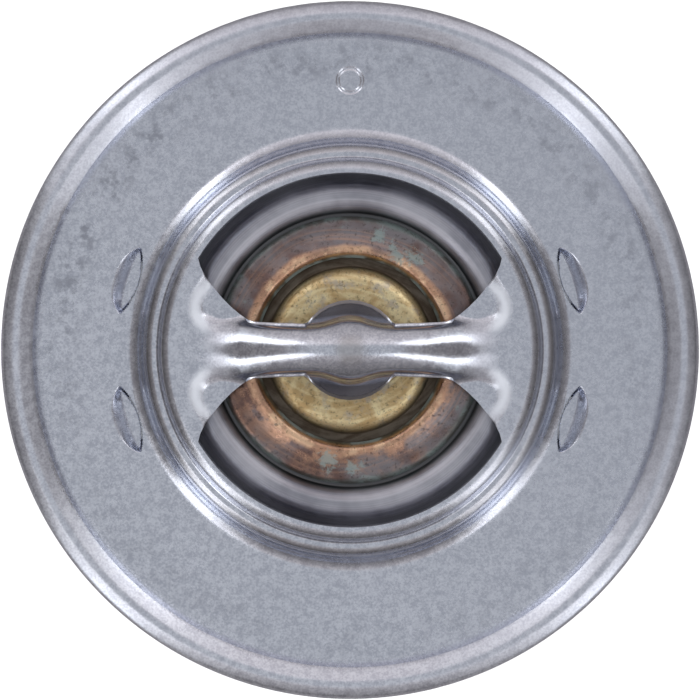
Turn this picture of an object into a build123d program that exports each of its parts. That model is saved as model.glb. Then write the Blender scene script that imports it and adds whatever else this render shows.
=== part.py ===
from build123d import *
import math
import os

# Engine coolant thermostat with a wax element, a main valve disc and a spring loaded bypass disc.
# Millimetres, +Z out of the engine along the valve's axis. The origin is on that axis, in the plane
# of the flange rim's underside, where the thermostat is clamped. The bridge strip runs along X.

# ---- Flange and bridge stamping ----
FLANGE_RADIUS = 33.5          # outer edge of the rim
SHEET = 0.8                   # steel thickness of the stamping
JOGGLE = 0.15                 # how far the inner flange is coined up from the rim's plane
JOGGLE_INSET = 3.6            # from the outer edge to the middle of that step
JOGGLE_HALF = 0.3             # half the step's width
RIM_TOP = 2.6                 # crest of the folded rim above its underside
RIM_CREST_INSET = 1.4         # from the outer edge to that crest
RIM_CREST_BEND = 1.2          # skin radius over the crest
RIM_SHOULDER_DROP = 0.6       # from the crest down to where the outer slope meets the edge
RIM_UPPER_BEND = 0.9          # skin radius at the top of the edge
RIM_LOWER_BEND = 1.05         # skin radius at the bottom of the edge
HEM_INSET = 3.05              # from the outer edge to the cut edge of the folded rim
HEM_DROP = 0.73               # from the crest down to the top of that cut edge
NECK_LEAN = 0.3               # how much narrower the neck is at its top
NECK_FOOT_BEND = 2.2          # inner skin radius where the neck leaves the flange
LEDGE_HEIGHT = 3.7            # underside of the seat ledge
LEDGE_WIDTH = 1.2             # flat width of that ledge
LEDGE_OUTER_BEND = 0.2        # inner skin radius at the ledge's outer side
SEAT_NOSE_MARGIN = 0.8        # from the openings' arc out to where the ledge turns up again
SEAT_NOSE_BEND = 1.0          # inner skin radius of the seat's nose
PLATEAU_RISE = 2.7            # from the ledge's underside to the face that the openings are cut in
PLATEAU_LEAN = 0.3            # how much narrower the upper step is at its top
PLATEAU_BEND = 0.4            # inner skin radius below the plateau's shoulder

# ---- Flow openings and bridge strip ----
OPENING_RADIUS = 16.95        # outer arc of both lens shaped openings
OPENING_CORNER_ANGLE = 30.0   # direction of the openings' corners from X, degrees
OPENING_CORNER_BEND = 0.8     # radius of those corners
BEND_LINE_INSET = 3.05        # from that arc to where the plateau turns down beside the strip
BEND_LINE_HALF = 2.9          # half width of the plateau there
CREST_INSET = 1.0             # from that line to where the strip's crest meets the plateau
STRIP_RISE = 3.95             # crest of the arched strip above the plateau
STRIP_EDGE_HALF = 2.6         # half width over the strip's sheared lower edges
STRIP_EDGE_INSET = 3.4        # from the bend line to where those edges start to spread
STRIP_DEPTH = 2.85            # from the strip's crest to its sheared edges
STRIP_BEND = 1.9              # outer skin radius of the strip's rounded back
STRIP_FLAT_HALF = 0.25        # half of the flat along the strip's back
ROOT_BEND = 1.3               # outer skin radius where the facets leave the plateau
ROOT_SINK = 0.1               # how far the strip's root lies below the plateau's face
FACET_EDGE_DROP = 1.3         # lowest point of the facets' edges below the plateau
ROOT_FLAT_SPREAD = 1.6        # how much wider than the bend line the strip's back gets at the root
ROOT_EDGE_RECOVERY = 0.6      # share of the edges' drop that is made up again at the corners
SHOULDER_TUCK = 0.35          # how far the back's corners move in where the sides lean out
STRIP_STATIONS = 11           # sections that each half of the strip is drawn through
HUB_RISE = 0.1                # flat on the hub's crown above the strip's crest
HUB_CROWN_RADIUS = 2.75       # where the crown meets the hub's cone
HUB_CROWN_BEND = 1.8          # outer skin radius there
HUB_CONE_WIDTH = 2.05         # width of the cone in plan
HUB_CONE_DROP = 3.45          # height of the cone

# ---- Lanced pockets and the mark ----
POCKET_ANGLE = 17.5           # direction of each pocket from X, degrees
POCKET_INSET = 2.93           # from the neck's wall out to the pocket's chord
POCKET_HALF_LENGTH = 3.4      # half length of the slot in the flange
POCKET_BULGE = 1.72           # how far the slot bulges outward from its chord
POCKET_CUT_BULGE = 1.0        # how far the sheared edge bulges inward from its chord
POCKET_FLOOR_HALF = 2.9       # half length of the pocket's floor
POCKET_FLOOR_BULGE = 0.55     # how far the floor bulges outward
POCKET_WALL = 0.72            # thinned metal around the pocket
MARK_INSET = 7.6              # from the outer edge to the middle of the ring shaped mark
MARK_DIAMETER = 2.6
MARK_LINE = 0.22              # width of its line
MARK_DEPTH = 0.12

# ---- Lower frame ----
FRAME_SHEET = 1.0
FRAME_HALF_WIDTH = 4.5        # half width of each leg
LEG_STEP = 0.05               # from the neck's wall to the legs' inner faces
KNEE_RISE = 7.4               # from the base to where the legs start to slope inward
BASE_HEIGHT = -15.0           # upper face of the base
LEG_TAPER = 4.8               # how far each leg comes in from its knee to the base
BASE_MARGIN = 0.4             # how far the collar's blank runs past that corner
FOOT_BEND = 1.5               # outer skin radius between foot and leg
KNEE_BEND = 3.0
BASE_BEND = 2.4
FOOT_REACH = 1.85             # from the legs' inner faces to the foot's edge between its ears
FOOT_HALF_LENGTH = 8.6
EAR_HALF_WIDTH = 2.1
EAR_REACH = 0.27              # how far the ears run past the pockets' chords
COLLAR_DEPTH = 2.6            # length of the guide collar below the base
COLLAR_BEND = 1.6             # outer skin radius where the collar leaves the base

# ---- Valve disc ----
SEAT_OVERLAP = 0.55           # how far the disc runs out past the seat's nose
DISC_SHEET = 0.8
SEAT_GAP = 0.12               # between the closed disc and the seat ledge
DISC_DEPTH = 2.78             # from the disc's rim down to the recess that holds the element
RECESS_MARGIN = 0.77          # around the element in that recess
RECESS_LEAN = 0.3             # how much wider the recess is at its top
RECESS_BEND = 0.5
CREST_RISE = 1.12             # corner that the rounded ridge is drawn around, above the rim
CREST_BEND = 1.25
VALLEY_WIDTH = 2.65           # from that corner out to the valley
VALLEY_DROP = 0.55            # below the disc's rim
VALLEY_BEND = 0.5
RIM_FLAT_INSET = 0.65         # from the seat's nose in to where the rim's flat starts
RIM_FLAT_RUN = 0.7            # from there in to the valley
RIM_FLAT_BEND = 0.85

# ---- Wax element ----
CUP_SHEET = 0.6
CUP_RADIUS = 9.0
CUP_BOTTOM = -19.0
CUP_THROAT_BEND = 0.6
CUP_BOTTOM_BEND = 2.6
LIP_BEAD_RISE = 0.45          # raised bead near the rolled lip's inner edge
LIP_BEAD_INSET = 2.93         # from the element's outside to that bead
LIP_BEAD_WIDTH = 0.5          # from the bead to the lip's inner edge
LIP_FLAT_INSET = 1.48         # from the element's outside to where the lip starts to rise
LIP_END_RISE = 0.42           # lip's end above the guide's flange
SLEEVE_FLANGE = 0.6
GUIDE_FLANGE = 0.9
CLAMP_CLEARANCE = 0.13        # around what the lip clamps
BOSS_INSET = 1.55             # width of the groove between the lip and the boss
BOSS_RISE = 0.4               # boss above the lip's flat
BOSS_BEND = 0.9
NOSE_RADIUS = 3.4
NOSE_RISE = 1.3               # nose above the boss
NOSE_CHAMFER = 0.5
PISTON_RADIUS = 2.2
PISTON_ROOM = 6.6             # from the cup's bottom up to the piston's end
PISTON_CHAMFER = 0.6
PISTON_TIP_BEND = 1.4
BORE_CLEARANCE = 0.05         # running fit of the piston in the guide
SLEEVE_CLEARANCE = 0.3        # around the piston inside the rubber
SLEEVE_WALL = 1.1
WASHER_RADIUS = 3.35
WASHER_THICKNESS = 0.7
INNER_GAP = 0.05              # assembly gap between the element's inner pieces

# ---- Springs ----
MAIN_WIRE = 0.8               # wire radius
MAIN_TOP_INSET = 0.8          # from the disc's valley in to the top coil's centre line
MAIN_BOTTOM_INSET = 2.2       # from the base's corner in to the bottom coil's centre line
MAIN_TURNS = 4.0
DEAD_COIL = 0.75              # share of a turn that lies flat at each end
COIL_EASE = 0.35              # share of the rise that starts and stops smoothly
POINTS_PER_TURN = 12          # points that each turn is drawn through
BYPASS_WIRE = 0.5
BYPASS_COIL_RADIUS = 4.2
BYPASS_TURNS = 6.5
SPRING_GAP = 0.08             # between a spring's end coil and its seat

# ---- Bypass valve ----
STEM_RADIUS = 1.9
STEM_COLLAR_RADIUS = 5.2
STEM_COLLAR = 1.0
STEM_TAIL = 2.9               # how far the stem runs past the bypass disc's hub
STEM_CHAMFER = 0.4
GROOVE_DEPTH = 0.5
RING_THICKNESS = 0.6
RING_RADIUS = 3.4
RING_MOUTH = 2.2              # width of the retaining ring's opening
RING_GAP = 0.05
BYPASS_SHEET = 0.9
BYPASS_RADIUS = 15.0
BYPASS_REACH = 14.6           # from the cup's bottom down to the bypass disc's hub
BYPASS_HUB_RADIUS = 7.0
BYPASS_CONE_WIDTH = 2.6       # width of the disc's cone in plan
BYPASS_CONE_DROP = 3.3        # height of that cone
BYPASS_BEND = 1.6
STEM_CLEARANCE = 0.08

# ---- Radii and heights that follow ----
SHARP = 0.05                  # smallest radius that a bend is drawn with
OVERRUN = 3.0                 # how far cutting shapes run past what they cut
JOGGLE_RADIUS = FLANGE_RADIUS - JOGGLE_INSET
RIM_CREST_RADIUS = FLANGE_RADIUS - RIM_CREST_INSET
RIM_SHOULDER = RIM_TOP - RIM_SHOULDER_DROP
HEM_RADIUS = FLANGE_RADIUS - HEM_INSET
HEM_HEIGHT = RIM_TOP - HEM_DROP
MARK_RADIUS = FLANGE_RADIUS - MARK_INSET
FLANGE_TOP = JOGGLE + SHEET
SEAT_NOSE_RADIUS = OPENING_RADIUS + SEAT_NOSE_MARGIN
NECK_RADIUS = SEAT_NOSE_RADIUS + LEDGE_WIDTH + NECK_LEAN
PLATEAU_HEIGHT = LEDGE_HEIGHT + PLATEAU_RISE
BEND_LINE_X = OPENING_RADIUS - BEND_LINE_INSET
CREST_END_X = BEND_LINE_X - CREST_INSET
STRIP_EDGE_END = BEND_LINE_X - STRIP_EDGE_INSET
STRIP_TOP = PLATEAU_HEIGHT + STRIP_RISE
HUB_TOP = STRIP_TOP + HUB_RISE
HUB_SKIRT_RADIUS = HUB_CROWN_RADIUS + HUB_CONE_WIDTH
HUB_SKIRT_HEIGHT = HUB_TOP - HUB_CONE_DROP
CORNER = math.radians(OPENING_CORNER_ANGLE)
CORNER_X = OPENING_RADIUS * math.cos(CORNER)
CORNER_Y = OPENING_RADIUS * math.sin(CORNER)
POCKET_CHORD_RADIUS = NECK_RADIUS + POCKET_INSET
LEG_INSIDE = NECK_RADIUS - LEG_STEP
LEG_KNEE_HEIGHT = BASE_HEIGHT + KNEE_RISE
BASE_CORNER_X = LEG_INSIDE - LEG_TAPER
BASE_RADIUS = BASE_CORNER_X + BASE_MARGIN
FOOT_RADIUS = LEG_INSIDE + FOOT_REACH
EAR_RADIUS = POCKET_CHORD_RADIUS + EAR_REACH
DISC_RADIUS = SEAT_NOSE_RADIUS + SEAT_OVERLAP
RIM_FACE = LEDGE_HEIGHT - SEAT_GAP
RIM_FLAT_RADIUS = SEAT_NOSE_RADIUS - RIM_FLAT_INSET
VALLEY_RADIUS = RIM_FLAT_RADIUS - RIM_FLAT_RUN
CREST_CORNER_RADIUS = VALLEY_RADIUS - VALLEY_WIDTH
CREST_CORNER_HEIGHT = RIM_FACE + CREST_RISE
RECESS_RADIUS = CREST_CORNER_RADIUS - RECESS_LEAN
DISC_FLOOR = RIM_FACE - DISC_DEPTH
CUP_FLANGE_RADIUS = RECESS_RADIUS - RECESS_MARGIN
CLAMP_RADIUS = CUP_FLANGE_RADIUS - CUP_SHEET - CLAMP_CLEARANCE
LIP_FLAT_RADIUS = CUP_FLANGE_RADIUS - LIP_FLAT_INSET
LIP_BEAD_RADIUS = CUP_FLANGE_RADIUS - LIP_BEAD_INSET
LIP_RADIUS = LIP_BEAD_RADIUS - LIP_BEAD_WIDTH
LIP_TOP = DISC_FLOOR + 2 * CUP_SHEET + SLEEVE_FLANGE + GUIDE_FLANGE
BOSS_RADIUS = LIP_RADIUS - BOSS_INSET
BOSS_HEIGHT = LIP_TOP + BOSS_RISE
NOSE_HEIGHT = BOSS_HEIGHT + NOSE_RISE
CLAMP_BOTTOM = DISC_FLOOR + CUP_SHEET
GUIDE_BOTTOM = CLAMP_BOTTOM + SLEEVE_FLANGE
PISTON_END = CUP_BOTTOM + PISTON_ROOM
MAIN_TOP_RADIUS = VALLEY_RADIUS - MAIN_TOP_INSET
MAIN_BOTTOM_RADIUS = BASE_CORNER_X - MAIN_BOTTOM_INSET
BYPASS_HUB_HEIGHT = CUP_BOTTOM - BYPASS_REACH
BYPASS_RIM_HEIGHT = BYPASS_HUB_HEIGHT - BYPASS_CONE_DROP
BYPASS_RIM_RADIUS = BYPASS_HUB_RADIUS + BYPASS_CONE_WIDTH
STEM_END = BYPASS_HUB_HEIGHT - STEM_TAIL


def shifted(corners, gap):
    """The same run of corners moved sideways by gap, to its left where gap is positive."""
    headings = []
    for (x0, y0, _), (x1, y1, _) in zip(corners, corners[1:]):
        length = math.hypot(x1 - x0, y1 - y0)
        headings.append(((x1 - x0) / length, (y1 - y0) / length))
    moved = []
    last = len(corners) - 1
    for index, (x, y, bend) in enumerate(corners):
        ax, ay = headings[max(index - 1, 0)]
        bx, by = headings[min(index, last - 1)]
        reach = gap / (1 + ax * bx + ay * by)
        turn = math.copysign(1, ax * by - ay * bx)
        moved.append((x - reach * (ay + by), y + reach * (ax + bx), max(bend - turn * gap, SHARP)))
    return moved


def run(corners):
    """Straight lines through the corners, each inner corner rounded by its own bend radius."""
    points = [(x, y) for x, y, _ in corners]
    return FilletPolyline(*points, radius=[bend for _, _, bend in corners[1:-1]])


def sheet_face(corners, thickness):
    """Section of a bent sheet: one skin runs through the corners, the other lies to its left."""
    other = shifted(corners, thickness)
    first = run(corners)
    second = run(other)
    start = Line(corners[0][:2], other[0][:2])
    end = Line(corners[-1][:2], other[-1][:2])
    return make_face([*first.edges(), *end.edges(), *second.edges(), *start.edges()])


def turned(face):
    """Solid of revolution about Z from a section drawn as radius and height."""
    return revolve(Plane.XZ * face, Axis.Z)


def solid_face(corners):
    """Closed section through corners, each rounded by its own bend radius where it has one."""
    edges = Polyline(*[(x, y) for x, y, _ in corners], close=True)
    face = make_face(edges)
    for x, y, bend in corners:
        if bend > 0:
            corner = face.vertices().sort_by_distance(Vector(x, y, 0))[0]
            face = fillet(corner, bend)
    return face


def disc(radius, bottom, top):
    """Plain cylinder on the axis between two heights."""
    return Pos(0, 0, bottom) * Cylinder(radius, top - bottom, align=(Align.CENTER, Align.CENTER, Align.MIN))


def one(shape):
    """The single solid of a finished piece."""
    solids = shape.solids()
    return solids[0] if len(solids) == 1 else shape


# ---- Flange and bridge ----
def flange_shell():
    """Rim, flange, neck and plateau as one turned sheet, before anything is cut from it."""
    skin = [
        (HEM_RADIUS, HEM_HEIGHT, 0),
        (RIM_CREST_RADIUS, RIM_TOP, RIM_CREST_BEND),
        (FLANGE_RADIUS, RIM_SHOULDER, RIM_UPPER_BEND),
        (FLANGE_RADIUS, 0, RIM_LOWER_BEND),
        (JOGGLE_RADIUS + JOGGLE_HALF, 0, SHEET),
        (JOGGLE_RADIUS - JOGGLE_HALF, JOGGLE, SHEET),
        (NECK_RADIUS, JOGGLE, NECK_FOOT_BEND),
        (NECK_RADIUS - NECK_LEAN, LEDGE_HEIGHT, LEDGE_OUTER_BEND),
        (SEAT_NOSE_RADIUS, LEDGE_HEIGHT, SEAT_NOSE_BEND),
        (SEAT_NOSE_RADIUS - PLATEAU_LEAN, PLATEAU_HEIGHT - SHEET, PLATEAU_BEND),
        (BEND_LINE_X - OVERRUN, PLATEAU_HEIGHT - SHEET, 0),
    ]
    return turned(sheet_face(skin, -SHEET))


def opening_cut():
    """Everything inside the plateau that is open or belongs to the strip: one shape for both openings."""
    top = Vector(0, OPENING_RADIUS)
    corner = Vector(CORNER_X, CORNER_Y)
    bend = Vector(BEND_LINE_X, BEND_LINE_HALF)
    outline = [
        *ThreePointArc((CORNER_X, CORNER_Y), top, (-CORNER_X, CORNER_Y)).edges(),
        *Polyline((-corner.X, corner.Y), (-bend.X, bend.Y), (-bend.X, -bend.Y), (-corner.X, -corner.Y)).edges(),
        *ThreePointArc((-CORNER_X, -CORNER_Y), -top, (CORNER_X, -CORNER_Y)).edges(),
        *Polyline((corner.X, -corner.Y), (bend.X, -bend.Y), (bend.X, bend.Y), (corner.X, corner.Y)).edges(),
    ]
    face = make_face(outline)
    corners = [v for v in face.vertices() if abs(abs(v.Y) - CORNER_Y) < SHARP]
    face = fillet(corners, OPENING_CORNER_BEND)
    lowest = PLATEAU_HEIGHT - SHEET - OVERRUN / 2
    return extrude(Pos(0, 0, lowest) * face, SHEET + OVERRUN)


def crest_height(x):
    """Height of the strip's crest: a parabola that sinks just into the plateau at its root."""
    sag = (STRIP_TOP - PLATEAU_HEIGHT) * (x / CREST_END_X) ** 2
    return max(STRIP_TOP - sag, PLATEAU_HEIGHT - ROOT_SINK)


def strip_section(x):
    """Half width of the back, bend, edge half width and edge height of the strip at one station."""
    spread = max((x - STRIP_EDGE_END) / (CORNER_X - STRIP_EDGE_END), 0)
    ease = spread * spread * (3 - 2 * spread)
    flat = STRIP_FLAT_HALF + (BEND_LINE_HALF * ROOT_FLAT_SPREAD - STRIP_FLAT_HALF) * ease
    bend = STRIP_BEND + (ROOT_BEND - STRIP_BEND) * ease
    edge = STRIP_EDGE_HALF + (CORNER_Y - STRIP_EDGE_HALF) * spread
    free_edge = crest_height(x) - STRIP_DEPTH
    root_edge = PLATEAU_HEIGHT - FACET_EDGE_DROP * (1 - ROOT_EDGE_RECOVERY * ease)
    return flat, bend, edge, max(free_edge, root_edge)


def strip_profiles(x):
    """Outer and inner closed sections of the strip at one station along X."""
    flat, bend, edge, edge_height = strip_section(x)
    crest = crest_height(x)
    lean = (edge - flat - bend) / max(crest - edge_height, SHEET)
    shoulder = flat + bend * (1 - SHOULDER_TUCK * min(max(lean, 0), 1))
    outer = [
        (-edge, edge_height, 0),
        (-shoulder, crest, bend),
        (shoulder, crest, bend),
        (edge, edge_height, 0),
    ]
    inner = shifted(outer, -SHEET)
    plane = Plane(origin=(x, 0, 0), x_dir=(0, 1, 0), z_dir=(1, 0, 0))
    outer_end, outer_start = inner[-1][:2], inner[0][:2]
    outer_face = make_face([
        *run(outer).edges(),
        *Line(outer[-1][:2], outer_end).edges(),
        *Line(outer_end, outer_start).edges(),
        *Line(outer_start, outer[0][:2]).edges(),
    ])
    deep = [stretched(inner[1], inner[0]), *inner[1:-1], stretched(inner[-2], inner[-1])]
    inner_face = make_face([*run(deep).edges(), *Line(deep[-1][:2], deep[0][:2]).edges()])
    return plane * outer_face, plane * inner_face


def stretched(base, end):
    """A corner carried past its own run by twice the sheet."""
    length = math.hypot(end[0] - base[0], end[1] - base[1])
    factor = 1 + 2 * SHEET / length
    return (base[0] + (end[0] - base[0]) * factor, base[1] + (end[1] - base[1]) * factor, 0)


def strip_solids():
    """Outer and inner solids of the whole arched strip."""
    outer_faces = []
    inner_faces = []
    for index in range(STRIP_STATIONS):
        x = CORNER_X * index / (STRIP_STATIONS - 1)
        outer_face, inner_face = strip_profiles(x)
        outer_faces.append(outer_face)
        inner_faces.append(inner_face)
    outer = loft(outer_faces)
    inner = loft(inner_faces)
    return outer + mirror(outer, Plane.YZ), inner + mirror(inner, Plane.YZ)


def hub_solids():
    """Outer and inner solids of the conical hub that takes the piston's head."""
    skin = [
        (0, HUB_TOP, 0),
        (HUB_CROWN_RADIUS, HUB_TOP, HUB_CROWN_BEND),
        (HUB_SKIRT_RADIUS, HUB_SKIRT_HEIGHT, 0),
    ]
    inner = shifted(skin, -SHEET)
    inner = [*inner[:-1], stretched(inner[-2], inner[-1])]
    low = shifted(skin, -SHEET)[-1]
    outer_face = make_face([
        *run(skin).edges(),
        *Polyline(skin[-1][:2], low[:2], (0, low[1]), (0, HUB_TOP)).edges(),
    ])
    bottom = inner[-1][1]
    inner_face = make_face([
        *run(inner).edges(),
        *Polyline(inner[-1][:2], (0, bottom), inner[0][:2]).edges(),
    ])
    return turned(outer_face), turned(inner_face)


def bridge_shell():
    """The arched strip with its hub and its root facets."""
    strip_outer, strip_inner = strip_solids()
    hub_outer, hub_inner = hub_solids()
    shell = strip_outer + hub_outer - strip_inner - hub_inner
    return shell & disc(OPENING_RADIUS, 0, STRIP_TOP + OVERRUN)


def pocket_frames():
    """Placement of each lanced pocket: x runs along its chord, y outward, z up."""
    frames = []
    for side in (0, 180):
        for tilt in (-POCKET_ANGLE, POCKET_ANGLE):
            frames.append(Rot(0, 0, side + tilt) * Pos(POCKET_CHORD_RADIUS, 0, 0) * Rot(0, 0, -90))
    return frames


def pocket_block(half_top, bulge_top, top, half_low, bulge_low, low):
    """Solid that tapers from the slot's outline to the floor's outline of a pocket."""
    faces = []
    for half, bulge, height in ((half_top, bulge_top, top), (half_low, bulge_low, low)):
        inward = -OVERRUN
        edges = [
            *ThreePointArc((-half, 0), (0, bulge), (half, 0)).edges(),
            *Polyline((half, 0), (half, inward), (-half, inward), (-half, 0)).edges(),
        ]
        faces.append(Pos(0, 0, height) * make_face(edges))
    return loft(faces, ruled=True)


def pocket_keep():
    """Region outward of the sheared edge of a pocket."""
    half = POCKET_HALF_LENGTH + OVERRUN
    radius = (POCKET_HALF_LENGTH ** 2 + POCKET_CUT_BULGE ** 2) / (2 * POCKET_CUT_BULGE)
    drop = radius - POCKET_CUT_BULGE - math.sqrt(radius ** 2 - half ** 2) if radius > half else 0
    edges = [
        *ThreePointArc((-half, drop), (0, -POCKET_CUT_BULGE), (half, drop)).edges(),
        *Polyline((half, drop), (half, 2 * half), (-half, 2 * half), (-half, drop)).edges(),
    ]
    return extrude(Pos(0, 0, -2 * OVERRUN) * make_face(edges), 4 * OVERRUN)


def pocket_solids():
    """The metal that is pressed down at a pocket, and the hollow above it."""
    floor = JOGGLE - FRAME_SHEET
    drop = FLANGE_TOP - floor
    slope_half = (POCKET_HALF_LENGTH - POCKET_FLOOR_HALF) / drop
    slope_bulge = (POCKET_BULGE - POCKET_FLOOR_BULGE) / drop
    keep = pocket_keep()
    rise = OVERRUN / 2
    hollow = pocket_block(
        POCKET_HALF_LENGTH + slope_half * rise, POCKET_BULGE + slope_bulge * rise, FLANGE_TOP + rise,
        POCKET_FLOOR_HALF, POCKET_FLOOR_BULGE, floor,
    )
    metal = pocket_block(
        POCKET_HALF_LENGTH + POCKET_WALL, POCKET_BULGE + POCKET_WALL, FLANGE_TOP,
        POCKET_FLOOR_HALF + POCKET_WALL, POCKET_FLOOR_BULGE + POCKET_WALL, floor - SHEET,
    )
    return metal & keep, hollow & keep


def mark_cut():
    """Ring shaped mark pressed into the flange."""
    outer = Cylinder(MARK_DIAMETER / 2, 2 * MARK_DEPTH)
    inner = Cylinder(MARK_DIAMETER / 2 - MARK_LINE, 2 * MARK_DEPTH)
    return Pos(0, MARK_RADIUS, FLANGE_TOP) * (outer - inner)


def make_flange_bridge():
    body = flange_shell() - opening_cut()
    body = body + bridge_shell()
    metal, hollow = pocket_solids()
    for frame in pocket_frames():
        body = body + frame * metal
    for frame in pocket_frames():
        body = body - frame * hollow
    return one(body - mark_cut())


# ---- Lower frame ----
def make_lower_frame():
    half = [
        (LEG_INSIDE + FOOT_BEND + SHARP, JOGGLE, 0),
        (LEG_INSIDE, JOGGLE, FOOT_BEND),
        (LEG_INSIDE, LEG_KNEE_HEIGHT, KNEE_BEND),
        (BASE_CORNER_X, BASE_HEIGHT, BASE_BEND),
    ]
    skin = half + [(-x, z, bend) for x, z, bend in reversed(half)]
    strap = extrude(Plane.XZ * sheet_face(skin, FRAME_SHEET), FRAME_HALF_WIDTH, both=True)
    hole = CUP_RADIUS + SLEEVE_CLEARANCE
    collar_skin = [
        (BASE_RADIUS, BASE_HEIGHT - FRAME_SHEET, 0),
        (hole + FRAME_SHEET, BASE_HEIGHT - FRAME_SHEET, COLLAR_BEND - FRAME_SHEET),
        (hole + FRAME_SHEET, BASE_HEIGHT - FRAME_SHEET - COLLAR_DEPTH, 0),
    ]
    body = strap - disc(hole, BASE_HEIGHT - OVERRUN, BASE_HEIGHT + OVERRUN)
    body = body - disc(hole + COLLAR_BEND, BASE_HEIGHT - OVERRUN, BASE_HEIGHT + SHARP)
    body = body + turned(sheet_face(collar_skin, -FRAME_SHEET))
    return one(body + foot_plates())


def foot_plates():
    """Cross bars at the legs' upper ends with the ears that enter the pockets."""
    bottom = JOGGLE - FRAME_SHEET
    start = LEG_INSIDE + FOOT_BEND
    bar = Pos(0, 0, bottom) * Box(
        4 * FOOT_RADIUS, 2 * FOOT_HALF_LENGTH, FRAME_SHEET,
        align=(Align.CENTER, Align.CENTER, Align.MIN),
    )
    gap = Pos(0, 0, bottom - OVERRUN) * Box(
        2 * LEG_INSIDE, 4 * FOOT_HALF_LENGTH, 2 * OVERRUN + FRAME_SHEET,
        align=(Align.CENTER, Align.CENTER, Align.MIN),
    )
    bend_gap = Pos(0, 0, bottom - OVERRUN) * Box(
        2 * start, 2 * FRAME_HALF_WIDTH, 2 * OVERRUN + FRAME_SHEET,
        align=(Align.CENTER, Align.CENTER, Align.MIN),
    )
    plates = (bar & disc(FOOT_RADIUS, bottom, JOGGLE)) - gap - bend_gap
    reach = EAR_RADIUS - LEG_INSIDE
    ear = Pos(-reach / 2, 0, bottom) * Box(
        reach, 2 * EAR_HALF_WIDTH, FRAME_SHEET, align=(Align.CENTER, Align.CENTER, Align.MIN),
    )
    for side in (0, 180):
        for tilt in (-POCKET_ANGLE, POCKET_ANGLE):
            plates = plates + Rot(0, 0, side + tilt) * Pos(EAR_RADIUS, 0, 0) * ear
    return plates - gap


# ---- Valve disc ----
def make_valve_disc():
    hole = CUP_RADIUS + CUP_THROAT_BEND + INNER_GAP
    skin = [
        (hole, DISC_FLOOR, 0),
        (RECESS_RADIUS, DISC_FLOOR, RECESS_BEND),
        (CREST_CORNER_RADIUS, CREST_CORNER_HEIGHT, CREST_BEND),
        (VALLEY_RADIUS, RIM_FACE - VALLEY_DROP, VALLEY_BEND),
        (RIM_FLAT_RADIUS, RIM_FACE, RIM_FLAT_BEND),
        (DISC_RADIUS, RIM_FACE, 0),
    ]
    return one(turned(sheet_face(skin, -DISC_SHEET)))


# ---- Wax element ----
def make_wax_cup():
    bead = LIP_TOP + LIP_BEAD_RISE
    skin = [
        (LIP_RADIUS, LIP_TOP - CUP_SHEET + LIP_END_RISE, 0),
        (LIP_BEAD_RADIUS, bead, CUP_SHEET + SHARP),
        (LIP_FLAT_RADIUS, LIP_TOP, CUP_SHEET),
        (CUP_FLANGE_RADIUS, LIP_TOP, CUP_SHEET + SHARP),
        (CUP_FLANGE_RADIUS, DISC_FLOOR, CUP_SHEET + SHARP),
        (CUP_RADIUS, DISC_FLOOR, CUP_THROAT_BEND),
        (CUP_RADIUS, CUP_BOTTOM, CUP_BOTTOM_BEND),
        (0, CUP_BOTTOM, 0),
    ]
    return one(turned(sheet_face(skin, -CUP_SHEET)))


def make_piston_guide():
    bore = PISTON_RADIUS + BORE_CLEARANCE
    washer = WASHER_RADIUS + INNER_GAP
    groove_floor = GUIDE_BOTTOM + GUIDE_FLANGE
    face = solid_face([
        (bore, GUIDE_BOTTOM + WASHER_THICKNESS + INNER_GAP, 0),
        (washer, GUIDE_BOTTOM + WASHER_THICKNESS + INNER_GAP, 0),
        (washer, GUIDE_BOTTOM, 0),
        (CLAMP_RADIUS, GUIDE_BOTTOM, 0),
        (CLAMP_RADIUS, groove_floor, 0),
        (BOSS_RADIUS, groove_floor, 0),
        (BOSS_RADIUS, BOSS_HEIGHT, BOSS_BEND),
        (NOSE_RADIUS, BOSS_HEIGHT, 0),
        (NOSE_RADIUS, NOSE_HEIGHT - NOSE_CHAMFER, 0),
        (NOSE_RADIUS - NOSE_CHAMFER, NOSE_HEIGHT, 0),
        (bore, NOSE_HEIGHT, 0),
    ])
    return one(turned(face))


def make_chafe_washer():
    bore = PISTON_RADIUS + BORE_CLEARANCE
    ring = disc(WASHER_RADIUS, GUIDE_BOTTOM, GUIDE_BOTTOM + WASHER_THICKNESS)
    return one(ring - disc(bore, GUIDE_BOTTOM - OVERRUN, GUIDE_BOTTOM + OVERRUN))


def make_rubber_sleeve():
    bore = PISTON_RADIUS + SLEEVE_CLEARANCE
    outside = bore + SLEEVE_WALL
    floor = PISTON_END - SLEEVE_CLEARANCE
    face = solid_face([
        (0, floor, 0),
        (bore, floor, PISTON_TIP_BEND),
        (bore, GUIDE_BOTTOM, 0),
        (CLAMP_RADIUS, GUIDE_BOTTOM, 0),
        (CLAMP_RADIUS, CLAMP_BOTTOM, 0),
        (outside, CLAMP_BOTTOM, CUP_THROAT_BEND),
        (outside, floor - SLEEVE_WALL, PISTON_TIP_BEND),
        (0, floor - SLEEVE_WALL, 0),
    ])
    return one(turned(face))


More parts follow.
